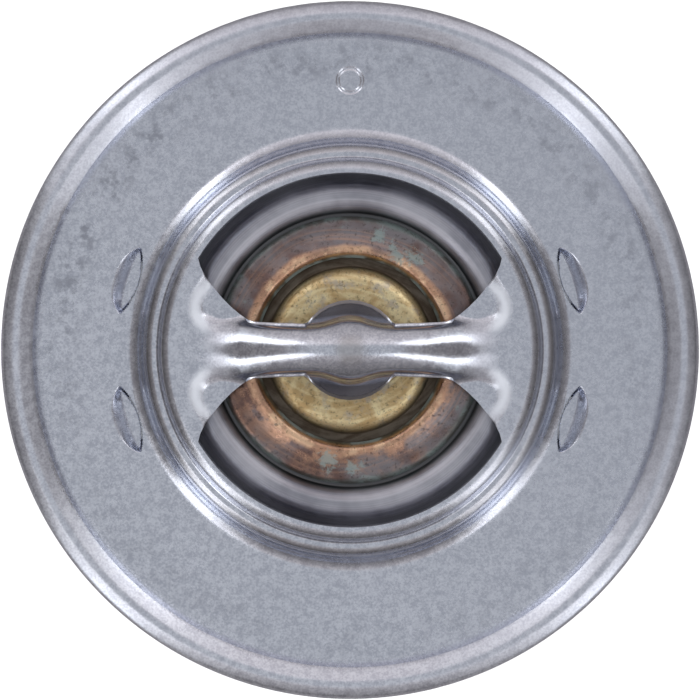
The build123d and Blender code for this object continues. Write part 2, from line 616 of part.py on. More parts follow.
def make_wax_charge():
    inside = PISTON_RADIUS + SLEEVE_CLEARANCE + SLEEVE_WALL
    outside = CUP_RADIUS - CUP_SHEET - INNER_GAP
    floor = CUP_BOTTOM + CUP_SHEET + INNER_GAP
    hollow = PISTON_END - SLEEVE_CLEARANCE - SLEEVE_WALL - INNER_GAP
    face = solid_face([
        (0, floor, 0),
        (outside, floor, CUP_BOTTOM_BEND - CUP_SHEET),
        (outside, CLAMP_BOTTOM - CUP_THROAT_BEND - CUP_SHEET, 0),
        (inside + CUP_THROAT_BEND, CLAMP_BOTTOM - CUP_THROAT_BEND - CUP_SHEET, 0),
        (inside + INNER_GAP, CLAMP_BOTTOM - 2 * CUP_THROAT_BEND - CUP_SHEET, 0),
        (inside + INNER_GAP, hollow, 0),
        (0, hollow, 0),
    ])
    return one(turned(face))


def make_piston():
    top = HUB_TOP - SHEET
    face = solid_face([
        (0, PISTON_END, 0),
        (PISTON_RADIUS, PISTON_END, PISTON_TIP_BEND),
        (PISTON_RADIUS, top - PISTON_CHAMFER, 0),
        (PISTON_RADIUS - PISTON_CHAMFER, top, 0),
        (0, top, 0),
    ])
    return one(turned(face))


# ---- Springs ----
def coil(top_radius, bottom_radius, top, bottom, turns, wire):
    """Round wire coil between two heights, with a flat dead coil at both ends."""
    count = round(turns * POINTS_PER_TURN)
    points = []
    for index in range(count + 1):
        turn = turns * index / count
        share = min(max((turn - DEAD_COIL) / (turns - 2 * DEAD_COIL), 0), 1)
        ease = share * share * (3 - 2 * share)
        rise = COIL_EASE * ease + (1 - COIL_EASE) * share
        radius = bottom_radius + (top_radius - bottom_radius) * turn / turns
        angle = 2 * math.pi * turn
        height = bottom + wire + (top - bottom - 2 * wire) * rise
        points.append((radius * math.cos(angle), radius * math.sin(angle), height))
    path = Spline(*points)
    section = Plane(origin=path @ 0, z_dir=path % 0) * Circle(wire)
    return one(sweep(section, path, is_frenet=False))


def spring_top_height():
    """Height of the main spring's top, just under the slope between the disc's ridge and its valley."""
    rise = CREST_CORNER_HEIGHT - (RIM_FACE - VALLEY_DROP)
    width = VALLEY_RADIUS - CREST_CORNER_RADIUS
    slope = math.atan2(rise, width)
    skin = CREST_CORNER_HEIGHT - (MAIN_TOP_RADIUS - CREST_CORNER_RADIUS) * math.tan(slope)
    centre = skin - (DISC_SHEET + SPRING_GAP + MAIN_WIRE) / math.cos(slope)
    return centre + MAIN_WIRE


def make_main_spring():
    return coil(MAIN_TOP_RADIUS, MAIN_BOTTOM_RADIUS, spring_top_height(), BASE_HEIGHT + SPRING_GAP,
                MAIN_TURNS, MAIN_WIRE)


def make_bypass_spring():
    top = CUP_BOTTOM - STEM_COLLAR - SPRING_GAP
    bottom = BYPASS_HUB_HEIGHT + SPRING_GAP
    return coil(BYPASS_COIL_RADIUS, BYPASS_COIL_RADIUS, top, bottom, BYPASS_TURNS, BYPASS_WIRE)


# ---- Bypass valve ----
def ring_top():
    return BYPASS_HUB_HEIGHT - BYPASS_SHEET - RING_GAP


def make_bypass_stem():
    groove_top = ring_top() + RING_GAP
    groove_bottom = ring_top() - RING_THICKNESS - RING_GAP
    core = STEM_RADIUS - GROOVE_DEPTH
    face = solid_face([
        (0, CUP_BOTTOM, 0),
        (STEM_COLLAR_RADIUS, CUP_BOTTOM, 0),
        (STEM_COLLAR_RADIUS, CUP_BOTTOM - STEM_COLLAR, 0),
        (STEM_RADIUS, CUP_BOTTOM - STEM_COLLAR, 0),
        (STEM_RADIUS, groove_top, 0),
        (core, groove_top, 0),
        (core, groove_bottom, 0),
        (STEM_RADIUS, groove_bottom, 0),
        (STEM_RADIUS, STEM_END + STEM_CHAMFER, 0),
        (STEM_RADIUS - STEM_CHAMFER, STEM_END, 0),
        (0, STEM_END, 0),
    ])
    return one(turned(face))


def make_retaining_ring():
    bottom = ring_top() - RING_THICKNESS
    bore = STEM_RADIUS - GROOVE_DEPTH + RING_GAP
    ring = disc(RING_RADIUS, bottom, ring_top()) - disc(bore, bottom - OVERRUN, ring_top() + OVERRUN)
    mouth = Pos(RING_RADIUS / 2, 0, ring_top()) * Box(RING_RADIUS, RING_MOUTH, OVERRUN)
    return one(ring - mouth)


def make_bypass_disc():
    skin = [
        (STEM_RADIUS + STEM_CLEARANCE, BYPASS_HUB_HEIGHT, 0),
        (BYPASS_HUB_RADIUS, BYPASS_HUB_HEIGHT, BYPASS_BEND),
        (BYPASS_RIM_RADIUS, BYPASS_RIM_HEIGHT, BYPASS_BEND),
        (BYPASS_RADIUS, BYPASS_RIM_HEIGHT, 0),
    ]
    return one(turned(sheet_face(skin, -BYPASS_SHEET)))


PIECES = {
    "flange_bridge": make_flange_bridge,
    "lower_frame": make_lower_frame,
    "valve_disc": make_valve_disc,
    "wax_cup": make_wax_cup,
    "piston_guide": make_piston_guide,
    "chafe_washer": make_chafe_washer,
    "rubber_sleeve": make_rubber_sleeve,
    "wax_charge": make_wax_charge,
    "piston": make_piston,
    "main_spring": make_main_spring,
    "bypass_stem": make_bypass_stem,
    "bypass_spring": make_bypass_spring,
    "retaining_ring": make_retaining_ring,
    "bypass_disc": make_bypass_disc,
}

os.makedirs("parts", exist_ok=True)
for name, make in PIECES.items():
    export_step(make(), f"parts/{name}.step")
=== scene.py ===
"""Engine coolant thermostat: the finely modelled stamping and springs, the finishes and the studio."""

import logging
import math
from dataclasses import dataclass
from enum import Enum
from typing import Callable

import bmesh
import bpy
from mathutils import Euler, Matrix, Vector, noise


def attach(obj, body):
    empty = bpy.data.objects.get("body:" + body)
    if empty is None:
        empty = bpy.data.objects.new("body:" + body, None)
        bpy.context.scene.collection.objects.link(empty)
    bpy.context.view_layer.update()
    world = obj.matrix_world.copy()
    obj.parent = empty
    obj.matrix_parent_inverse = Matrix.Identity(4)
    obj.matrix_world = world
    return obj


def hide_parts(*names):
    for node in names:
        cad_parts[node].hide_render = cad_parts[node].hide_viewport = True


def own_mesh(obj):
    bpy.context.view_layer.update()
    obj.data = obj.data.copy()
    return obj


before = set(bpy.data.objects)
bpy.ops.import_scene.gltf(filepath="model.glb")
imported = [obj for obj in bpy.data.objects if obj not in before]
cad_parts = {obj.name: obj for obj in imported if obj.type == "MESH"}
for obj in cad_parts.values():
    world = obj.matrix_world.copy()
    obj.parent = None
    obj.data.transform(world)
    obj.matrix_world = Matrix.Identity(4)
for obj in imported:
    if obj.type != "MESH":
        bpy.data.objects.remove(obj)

# A millimetre in metres, and three small lengths in millimetres: the sharpest bend, the gap between points
# that count as one, and the bow of a line that counts as straight.
MM = 0.001
SHARP_BEND = 0.05
SAME_SPOT = 1e-4
STRAIGHT_BOW = 1e-3
SMOOTH_ANGLE = 38.0
LOG = logging.getLogger("thermostat")

Corner = tuple[float, float, float]
Point2 = tuple[float, float]
Rgb = tuple[int, int, int]
Piece = bpy.types.Object
Material = bpy.types.Material
Socket = bpy.types.NodeSocket


class Body(Enum):
    """Names of the bodies that the new pieces ride on."""

    FRAME = "frame"
    ELEMENT = "element"


# ---------------------------------------------------------------- modelling helpers


def deselect() -> None:
    """Leaves nothing selected in object mode."""
    if bpy.context.object is not None and bpy.context.object.mode != "OBJECT":
        bpy.ops.object.mode_set(mode="OBJECT")
    bpy.ops.object.select_all(action="DESELECT")


def only(piece: Piece) -> None:
    """Selects one object alone and makes it the active one."""
    deselect()
    piece.select_set(True)
    bpy.context.view_layer.objects.active = piece


def edit(piece: Piece) -> None:
    """Opens one object alone in edit mode."""
    only(piece)
    bpy.ops.object.mode_set(mode="EDIT")


def weld(piece: Piece, gap: float) -> None:
    """Opens a piece in edit mode, merges points closer than the gap and turns its faces outward."""
    edit(piece)
    bpy.ops.mesh.select_all(action="SELECT")
    bpy.ops.mesh.remove_doubles(threshold=gap * MM)
    bpy.ops.mesh.normals_make_consistent(inside=False)


def smooth(piece: Piece, angle: float = SMOOTH_ANGLE) -> None:
    """Leaves edit mode and shades a piece smooth, apart from edges sharper than the angle."""
    bpy.ops.object.mode_set(mode="OBJECT")
    only(piece)
    bpy.ops.object.shade_smooth_by_angle(angle=math.radians(angle))


def settle(piece: Piece, name: str) -> Piece:
    """Names a piece and moves its place into its mesh, so that it is at the origin and unscaled."""
    only(piece)
    bpy.ops.object.transform_apply(location=True, rotation=True, scale=True)
    piece.name = name
    piece.data.name = name
    return piece


def choose_faces(piece: Piece, wanted: Callable[[Vector], bool]) -> None:
    """Selects, in edit mode, the faces whose centre in millimetres passes a test."""
    mesh = bmesh.from_edit_mesh(piece.data)
    bpy.ops.mesh.select_mode(type="FACE")
    for face in mesh.faces:
        face.select_set(wanted(face.calc_center_median() / MM))
    bmesh.update_edit_mesh(piece.data)


def choose_edges(piece: Piece, wanted: Callable[[bmesh.types.BMEdge], bool]) -> int:
    """Selects, in edit mode, the edges that pass a test, and counts them."""
    bpy.ops.mesh.select_mode(type="EDGE")
    bpy.ops.mesh.select_all(action="DESELECT")
    mesh = bmesh.from_edit_mesh(piece.data)
    count = 0
    for edge in mesh.edges:
        if wanted(edge):
            edge.select_set(True)
            count += 1
    bmesh.update_edit_mesh(piece.data)
    return count


def shifted(corners: list[Corner], gap: float) -> list[Corner]:
    """Moves a run of corners sideways, to its left where the gap is positive, with new bend radii."""
    headings = []
    for (x0, y0, _), (x1, y1, _) in zip(corners, corners[1:]):
        length = math.hypot(x1 - x0, y1 - y0)
        headings.append(((x1 - x0) / length, (y1 - y0) / length))
    moved = []
    last = len(corners) - 1
    for index, (x, y, bend) in enumerate(corners):
        ax, ay = headings[max(index - 1, 0)]
        bx, by = headings[min(index, last - 1)]
        reach = gap / (1 + ax * bx + ay * by)
        turn = math.copysign(1, ax * by - ay * bx)
        moved.append((x - reach * (ay + by), y + reach * (ax + bx), max(bend - turn * gap, SHARP_BEND)))
    return moved


def rounded(corners: list[Corner], step: float, longest: float) -> list[Point2]:
    """Points along a run of corners, each inner corner rounded by its bend.

    Args:
        corners: x, y and bend radius of each corner.
        step: largest turn between two points, in degrees.
        longest: longest straight stretch between two points.
    """
    points = [corners[0][:2]]
    for (px, py, _), (cx, cy, bend), (nx, ny, _) in zip(corners, corners[1:], corners[2:]):
        into = Vector((cx - px, cy - py)).normalized()
        out = Vector((nx - cx, ny - cy)).normalized()
        turn = into.angle_signed(out, 0.0)
        tangent = bend * math.tan(abs(turn) / 2)
        start = Vector((cx, cy)) - into * tangent
        side = -math.copysign(1.0, turn)
        normal = Vector((-into.y, into.x)) * side
        centre = start + normal * bend
        count = max(round(math.degrees(abs(turn)) / step), 1)
        for index in range(count + 1):
            angle = side * abs(turn) * index / count
            arm = start - centre
            turned = Vector((
                arm.x * math.cos(angle) - arm.y * math.sin(angle),
                arm.x * math.sin(angle) + arm.y * math.cos(angle),
            ))
            spot = centre + turned
            points.append((spot.x, spot.y))
    points.append(corners[-1][:2])
    return divided(points, longest)


def divided(points: list[Point2], longest: float) -> list[Point2]:
    """Splits stretches that are too long into equal parts."""
    out = [points[0]]
    for (x0, y0), (x1, y1) in zip(points, points[1:]):
        length = math.hypot(x1 - x0, y1 - y0)
        if length < SAME_SPOT:
            continue
        count = max(math.ceil(length / longest), 1)
        for index in range(1, count + 1):
            share = index / count
            out.append((x0 + (x1 - x0) * share, y0 + (y1 - y0) * share))
    return out


def turned_rings(points: list[Point2], segments: int, name: str) -> Piece:
    """Shapes an open turned skin by extruding a circle from ring to ring, each a radius and a height."""
    deselect()
    radius, height = points[0]
    bpy.ops.mesh.primitive_circle_add(vertices=segments, radius=radius * MM, location=(0, 0, height * MM))
    skin = settle(bpy.context.object, name)
    bpy.ops.object.mode_set(mode="EDIT")
    bpy.ops.mesh.select_mode(type="EDGE")
    bpy.ops.mesh.select_all(action="SELECT")
    for (r0, z0), (r1, z1) in zip(points, points[1:]):
        bpy.ops.mesh.extrude_edges_move(TRANSFORM_OT_translate={"value": (0, 0, (z1 - z0) * MM)})
        bpy.ops.transform.resize(value=(r1 / r0, r1 / r0, 1), center_override=(0, 0, 0))
    bpy.ops.object.mode_set(mode="OBJECT")
    return skin


def ease(value: float) -> float:
    """Smooth step of a value held between 0 and 1."""
    value = min(max(value, 0.0), 1.0)
    return value * value * (3 - 2 * value)


def soft_max(first: float, second: float, width: float) -> float:
    """The larger of two heights, with a fillet about as wide as given between them."""
    share = max(width - abs(first - second), 0.0) / width
    return max(first, second) + share * share * width / 4


def between(table: tuple[Point2, ...], value: float) -> float:
    """Reads a table of pairs at a value, with straight lines between its rows."""
    if value <= table[0][0]:
        return table[0][1]
    for (x0, y0), (x1, y1) in zip(table, table[1:]):
        if value <= x1:
            return y0 + (y1 - y0) * (value - x0) / (x1 - x0)
    return table[-1][1]


# ---------------------------------------------------------------- finishes


def linear(red: int, green: int, blue: int) -> tuple[float, float, float, float]:
    """Turns an everyday 0 to 255 colour into the shader's linear one."""
    parts = []
    for part in (red, green, blue):
        share = part / 255
        parts.append(share / 12.92 if share <= 0.04045 else ((share + 0.055) / 1.055) ** 2.4)
    return (parts[0], parts[1], parts[2], 1.0)


class Graph:
    """Adds and joins the nodes of one material."""

    def __init__(self, name: str) -> None:
        """Starts a material with a surface shader and its output."""
        self.material = bpy.data.materials.new(name)
        self.material.use_nodes = True
        self.tree = self.material.node_tree
        self.tree.nodes.clear()
        self.shader = self.add("BsdfPrincipled")
        self.tree.links.new(self.shader.outputs["BSDF"], self.add("OutputMaterial").inputs["Surface"])
        self.place = self.add("TexCoord").outputs["Object"]

    def add(self, kind: str) -> bpy.types.Node:
        """Adds a shader node."""
        return self.tree.nodes.new("ShaderNode" + kind)

    def put(self, node: bpy.types.Node, socket: str | int, value: object) -> None:
        """Joins a socket to another node's output, or sets its value."""
        target = node.inputs[socket]
        if isinstance(value, Socket):
            self.tree.links.new(value, target)
        else:
            target.default_value = value

    def set(self, **values: object) -> None:
        """Sets or joins sockets of the surface shader, with spaces written as underscores."""
        for name, value in values.items():
            self.put(self.shader, name.replace("_", " "), value)

    def math(self, kind: str, first: object, second: object = 0.0, third: object = 0.0) -> Socket:
        """One step of arithmetic on values."""
        node = self.add("Math")
        node.operation = kind
        for index, value in enumerate((first, second, third)):
            self.put(node, index, value)
        return node.outputs[0]

    def times(self, first: object, second: object) -> Socket:
        """Product of two values."""
        return self.math("MULTIPLY", first, second)

    def mean(self, first: Socket, share: float, second: Socket) -> Socket:
        """Weighted mean of two values, of which the first has the given share."""
        return self.math("MULTIPLY_ADD", first, share, self.times(second, 1 - share))

    def length(self, along: Socket, aside: Socket) -> Socket:
        """Length of a flat arrow with two legs."""
        return self.math("SQRT", self.math("MULTIPLY_ADD", along, along, self.times(aside, aside)))

    def noise(self, scale: float, detail: float = 3.0, rough: float = 0.55, where: Socket | None = None,
              stretch: float = 0.0) -> Socket:
        """Cloudy pattern between 0 and 1 whose features are about 1 / scale metres wide."""
        node = self.add("TexNoise")
        self.put(node, "Vector", where or self.place)
        self.put(node, "Scale", scale)
        self.put(node, "Detail", detail)
        self.put(node, "Roughness", rough)
        self.put(node, "Distortion", stretch)
        return node.outputs["Factor" if "Factor" in node.outputs else "Fac"]

    def range(self, value: Socket, low: float, high: float, out_low: float = 0.0, out_high: float = 1.0,
              smooth: bool = True) -> Socket:
        """Maps a value from one range to another, held at its ends."""
        node = self.add("MapRange")
        node.interpolation_type = "SMOOTHSTEP" if smooth else "LINEAR"
        sockets = ("From Min", "From Max", "To Min", "To Max")
        for socket, number in zip(sockets, (low, high, out_low, out_high)):
            self.put(node, socket, number)
        self.put(node, "Value", value)
        return node.outputs["Result"]

    def band(self, value: Socket, low: float, high: float, edge: float) -> Socket:
        """1 between two limits, 0 outside them, with soft edges."""
        rise = self.range(value, low - edge, low + edge)
        fall = self.range(value, high - edge, high + edge, 1.0, 0.0)
        return self.times(rise, fall)

    def blend(self, share: object, first: object, second: object) -> Socket:
        """Mixes two colours."""
        node = self.add("Mix")
        node.data_type = "RGBA"
        self.put(node, "Factor", share)
        self.put(node, 6, linear(*first) if isinstance(first, tuple) else first)
        self.put(node, 7, linear(*second) if isinstance(second, tuple) else second)
        return node.outputs[2]

    def radius(self) -> Socket:
        """Distance from the valve's axis, in metres."""
        flat = self.add("VectorMath")
        flat.operation = "MULTIPLY"
        self.put(flat, 0, self.place)
        self.put(flat, 1, (1.0, 1.0, 0.0))
        length = self.add("VectorMath")
        length.operation = "LENGTH"
        self.put(length, 0, flat.outputs["Vector"])
        return length.outputs["Value"]

    def axis(self, index: int) -> Socket:
        """One coordinate, in metres."""
        node = self.add("SeparateXYZ")
        self.put(node, 0, self.place)
        return node.outputs[index]

    def turned_place(self, drift: float = 0.0) -> Socket:
        """Coordinates that stay the same round the axis, apart from a little drift."""
        node = self.add("CombineXYZ")
        radius = self.radius()
        if drift:
            wander = self.math("MULTIPLY_ADD", self.noise(60, 1), drift, -drift / 2)
            radius = self.math("ADD", radius, wander)
        self.put(node, 0, radius)
        self.put(node, 1, self.axis(2))
        return node.outputs[0]

    def bump(self, height: Socket, depth: float, strength: float = 1.0) -> None:
        """Gives the surface a relief of the given depth in metres."""
        node = self.add("Bump")
        self.put(node, "Height", height)
        self.put(node, "Distance", depth)
        self.put(node, "Strength", strength)
        self.set(Normal=node.outputs["Normal"])


@dataclass(frozen=True)
class StampedSteel:
    """Satin plated sheet with a fine speckle, drawn round the neck and stained near its rim, with painted
    shade towards the upper right, on the hub's cone and on the neck's wall and shoulder, and a painted
    highlight at each corner beside the strip's roots.
    """

    name: str
    light: Rgb = (234, 238, 248)
    dark: Rgb = (202, 206, 218)
    stain: Rgb = (158, 161, 172)
    rubbed: Rgb = (170, 166, 164)
    # Near-white colour of the painted highlights beside the strip's roots.
    painted_highlight: Rgb = (244, 247, 255)
    shaded: Rgb = (138, 132, 128)
    smooth: float = 0.2
    dull: float = 0.31
    neck: float = 21.2 * MM
    stain_band: Point2 = (26.4 * MM, 29.4 * MM)
    stain_fade: float = 16 * MM
    corner_x: float = 12.7 * MM
    corner_y: float = 4.05 * MM
    corner_reach: float = 2.12 * MM
    stain_share: float = 0.85
    fray: float = 0.5 * MM
    shade_gradient_reach: float = 40 * MM
    wall: Point2 = (19.0 * MM, 19.7 * MM)
    wall_shade: float = 0.36
    shoulder: Point2 = (17.5 * MM, 18.3 * MM)
    shoulder_shade: float = 0.2
    pin_spot: Point2 = (1.4 * MM, 2.5 * MM)
    pin_spot_share: float = 0.5
    hub_radius: float = 5.2 * MM
    hub_height: float = 6.9 * MM
    hub_shade: float = 0.75
    satin_edge: Point2 = (12.5 * MM, 14.0 * MM)
    strip_ends: Point2 = (11.6 * MM, 13.6 * MM)
    hem: float = 30 * MM

    def material(self) -> Material:
        """Builds the finish."""
        g = Graph(self.name)
        radius = g.radius()
        grain = g.noise(4600, 2, 0.6)
        mottle = g.noise(1300, 4, 0.65)
        cloud = g.noise(90, 2)
        tone = g.mean(grain, 0.55, mottle)
        colour = g.blend(g.range(tone, 0.38, 0.62), self.dark, self.light)
        ring = g.band(radius, *self.stain_band, 1.0 * MM)
        upper = g.range(g.axis(1), -self.stain_fade, self.stain_fade, 0.25, 1.0)
        spots = g.range(g.noise(700, 4, 0.7), 0.46, 0.66)
        stained = g.times(g.times(ring, upper), g.times(spots, self.stain_share))
        colour = g.blend(stained, colour, self.stain)
        # Painted shade: the sheet is darkened across the flange towards +x and +y.
        painted_slope_shade = g.range(g.math("ADD", g.axis(0), g.axis(1)), -self.shade_gradient_reach, self.shade_gradient_reach, 0.0, 0.55)
        colour = g.blend(g.times(painted_slope_shade, g.range(cloud, 0.3, 0.7, 0.6, 1.0)), colour, self.dark)
        spot = g.range(g.math("MULTIPLY_ADD", mottle, 1.2 * MM, radius), *self.pin_spot, 1.0, 0.0)
        colour = g.blend(g.times(spot, self.pin_spot_share), colour, self.rubbed)
        cone = g.times(g.range(g.axis(2), self.hub_height, self.hub_height + 0.4 * MM, 1.0, 0.0),
                       g.range(radius, self.hub_radius, self.hub_radius + 0.4 * MM, 1.0, 0.0))
        colour = g.blend(g.times(cone, self.hub_shade), colour, self.shaded)
        wall = g.times(g.band(radius, *self.wall, 0.25 * MM), self.wall_shade)
        shoulder = g.times(g.band(radius, *self.shoulder, 0.25 * MM), self.shoulder_shade)
        colour = g.blend(g.math("MAXIMUM", wall, shoulder), colour, self.shaded)
        # Painted highlight: a near-white, less metallic and rougher ring at each corner beside the strip's
        # roots.
        corner = self.root_highlight_mask(g, mottle)
        g.set(Base_Color=g.blend(corner, colour, self.painted_highlight))
        g.set(Metallic=g.math("MULTIPLY_ADD", corner, -1.0, 1.0))
        inside = g.range(radius, self.neck - 0.8 * MM, self.neck + 0.3 * MM, 1.0, 0.0)
        lines = g.noise(5200, 3, 0.7, where=g.turned_place(0.1 * MM))
        rough = g.mean(mottle, 0.4, cloud)
        rough = g.range(rough, 0.36, 0.64, self.smooth, self.dull)
        ends = g.times(g.band(radius, *self.strip_ends, 1.2 * MM),
                       g.range(g.math("ABSOLUTE", g.axis(1)), 2.2 * MM, 3.0 * MM, 1.0, 0.0))
        zone = g.range(radius, *self.satin_edge, -0.05, 0.0)
        zone = g.math("ADD", zone, g.range(radius, self.hem, self.hem + 1 * MM, 0.0, 0.08))
        zone = g.math("ADD", zone, g.math("MULTIPLY_ADD", spot, 0.1, g.times(ends, 0.22)))
        rough = g.math("ADD", rough, zone)
        g.set(Roughness=g.math("MULTIPLY_ADD", corner, 0.2, rough))
        relief = g.math("MULTIPLY_ADD", g.times(lines, inside), 0.5, g.times(grain, 0.35))
        g.bump(relief, 0.008 * MM)
        return g.material

    def root_highlight_mask(self, g: Graph, mottle: Socket) -> Socket:
        """1 on the stretched corners beside the strip's roots, where the painted highlight goes, frayed by
        the mottle.
        """
        along = g.math("ADD", g.math("ABSOLUTE", g.axis(0)), -self.corner_x)
        aside = g.math("ADD", g.math("ABSOLUTE", g.axis(1)), -self.corner_y)
        reach = g.math("ADD", g.length(along, aside), -self.fray / 2)
        reach = g.math("MULTIPLY_ADD", mottle, self.fray, reach)
        ring = g.band(reach, self.corner_reach - 0.5 * MM, self.corner_reach + 0.45 * MM, 0.5 * MM)
        mask = g.times(ring, g.range(along, 0.1 * MM, 1.7 * MM))
        flat = g.range(g.axis(2), 5.2 * MM, 5.7 * MM)
        return g.times(mask, flat)


@dataclass(frozen=True)
class DrawnSteel:
    """Bare pressed steel with fine concentric lines and smudges, and painted shade towards its outer edge
    and inside its recess.
    """

    name: str
    light: Rgb = (204, 205, 214)
    dark: Rgb = (158, 158, 168)
    smooth: float = 0.22
    dull: float = 0.42
    line_scale: float = 4200.0
    relief: float = 0.012 * MM
    # Radii and colour of the painted shade.
    painted_shade_from: float = 16.1 * MM
    recess: float = 13.2 * MM
    painted_shade: Rgb = (84, 86, 88)

    def material(self) -> Material:
        """Builds the finish."""
        g = Graph(self.name)
        lines = g.noise(self.line_scale, 3, 0.7, where=g.turned_place(0.2 * MM))
        smudge = g.noise(140, 4, 0.6)
        grain = g.noise(2400, 2, 0.6)
        tone = g.mean(lines, 0.35, smudge)
        colour = g.blend(g.range(tone, 0.36, 0.64), self.dark, self.light)
        radius = g.radius()
        # Painted shade: darkened beyond the outer radius, where the opening's edge shades the disc, and
        # inside the recess beside the cup.
        outer = g.range(radius, self.painted_shade_from, self.painted_shade_from + 0.4 * MM, 0.0, 0.5)
        inner = g.range(radius, self.recess - 0.1 * MM, self.recess + 0.5 * MM, 0.95, 0.0)
        painted_shade = g.math("MAXIMUM", outer, inner)
        g.set(Base_Color=g.blend(painted_shade, colour, self.painted_shade), Metallic=1.0)
        g.set(Roughness=g.range(smudge, 0.35, 0.65, self.smooth, self.dull))
        g.bump(g.mean(lines, 0.6, grain), self.relief)
        return g.material


@dataclass(frozen=True)
class PlainFinish:
    """Two tones that follow soft patches, under a fine grain.

    The three shares say how much the grain counts beside the patches.
    """

    name: str
    light: Rgb
    dark: Rgb
    smooth: float = 0.2
    dull: float = 0.36
    patch: tuple[float, float, float] = (260, 4, 0.6)
    grain: tuple[float, float, float] = (3000, 2, 0.6)
    tone_share: float = 0.0
    rough_share: float = 0.0
    relief_share: float = 0.5
    tone_reach: float = 0.12
    relief: float = 0.01 * MM
    metallic: float = 1.0

    def material(self) -> Material:
        """Builds the finish."""
        g = Graph(self.name)
        patch, grain = g.noise(*self.patch), g.noise(*self.grain)
        tone = g.range(g.mean(grain, self.tone_share, patch), 0.5 - self.tone_reach, 0.5 + self.tone_reach)
        rough = g.mean(grain, self.rough_share, patch)
        g.set(Base_Color=g.blend(tone, self.dark, self.light), Metallic=self.metallic)
        g.set(Roughness=g.range(rough, 0.35, 0.65, self.smooth, self.dull))
        g.bump(g.mean(grain, self.relief_share, patch), self.relief)
        return g.material


def compound(name: str, light: Rgb, dark: Rgb, smooth: float, dull: float) -> PlainFinish:
    """Finish of a filling or seal that isn't metal, with a fine moulded grain."""
    return PlainFinish(name, light, dark, smooth, dull, patch=(180, 3, 0.5), grain=(1400, 4, 0.6),
                       rough_share=1.0, relief_share=1.0, relief=0.03 * MM, metallic=0.0)


@dataclass(frozen=True)
class ShearedEdge:
    """Raw torn metal of a cut edge, brighter than the plating, its near-white colour a painted highlight
    along the cut.
    """

    name: str
    light: Rgb = (250, 251, 253)
    dark: Rgb = (190, 192, 198)

    def material(self) -> Material:
        """Builds the finish."""
        g = Graph(self.name)
        torn = g.noise(2600, 3, 0.7)
        # Painted highlight: near-white, half-metallic colour makes the thin bevelled cut edges bright.
        g.set(Base_Color=g.blend(g.range(torn, 0.36, 0.6), self.dark, self.light), Metallic=0.5)
        g.set(Roughness=g.range(torn, 0.3, 0.7, 0.34, 0.6))
        g.bump(torn, 0.05 * MM)
        return g.material


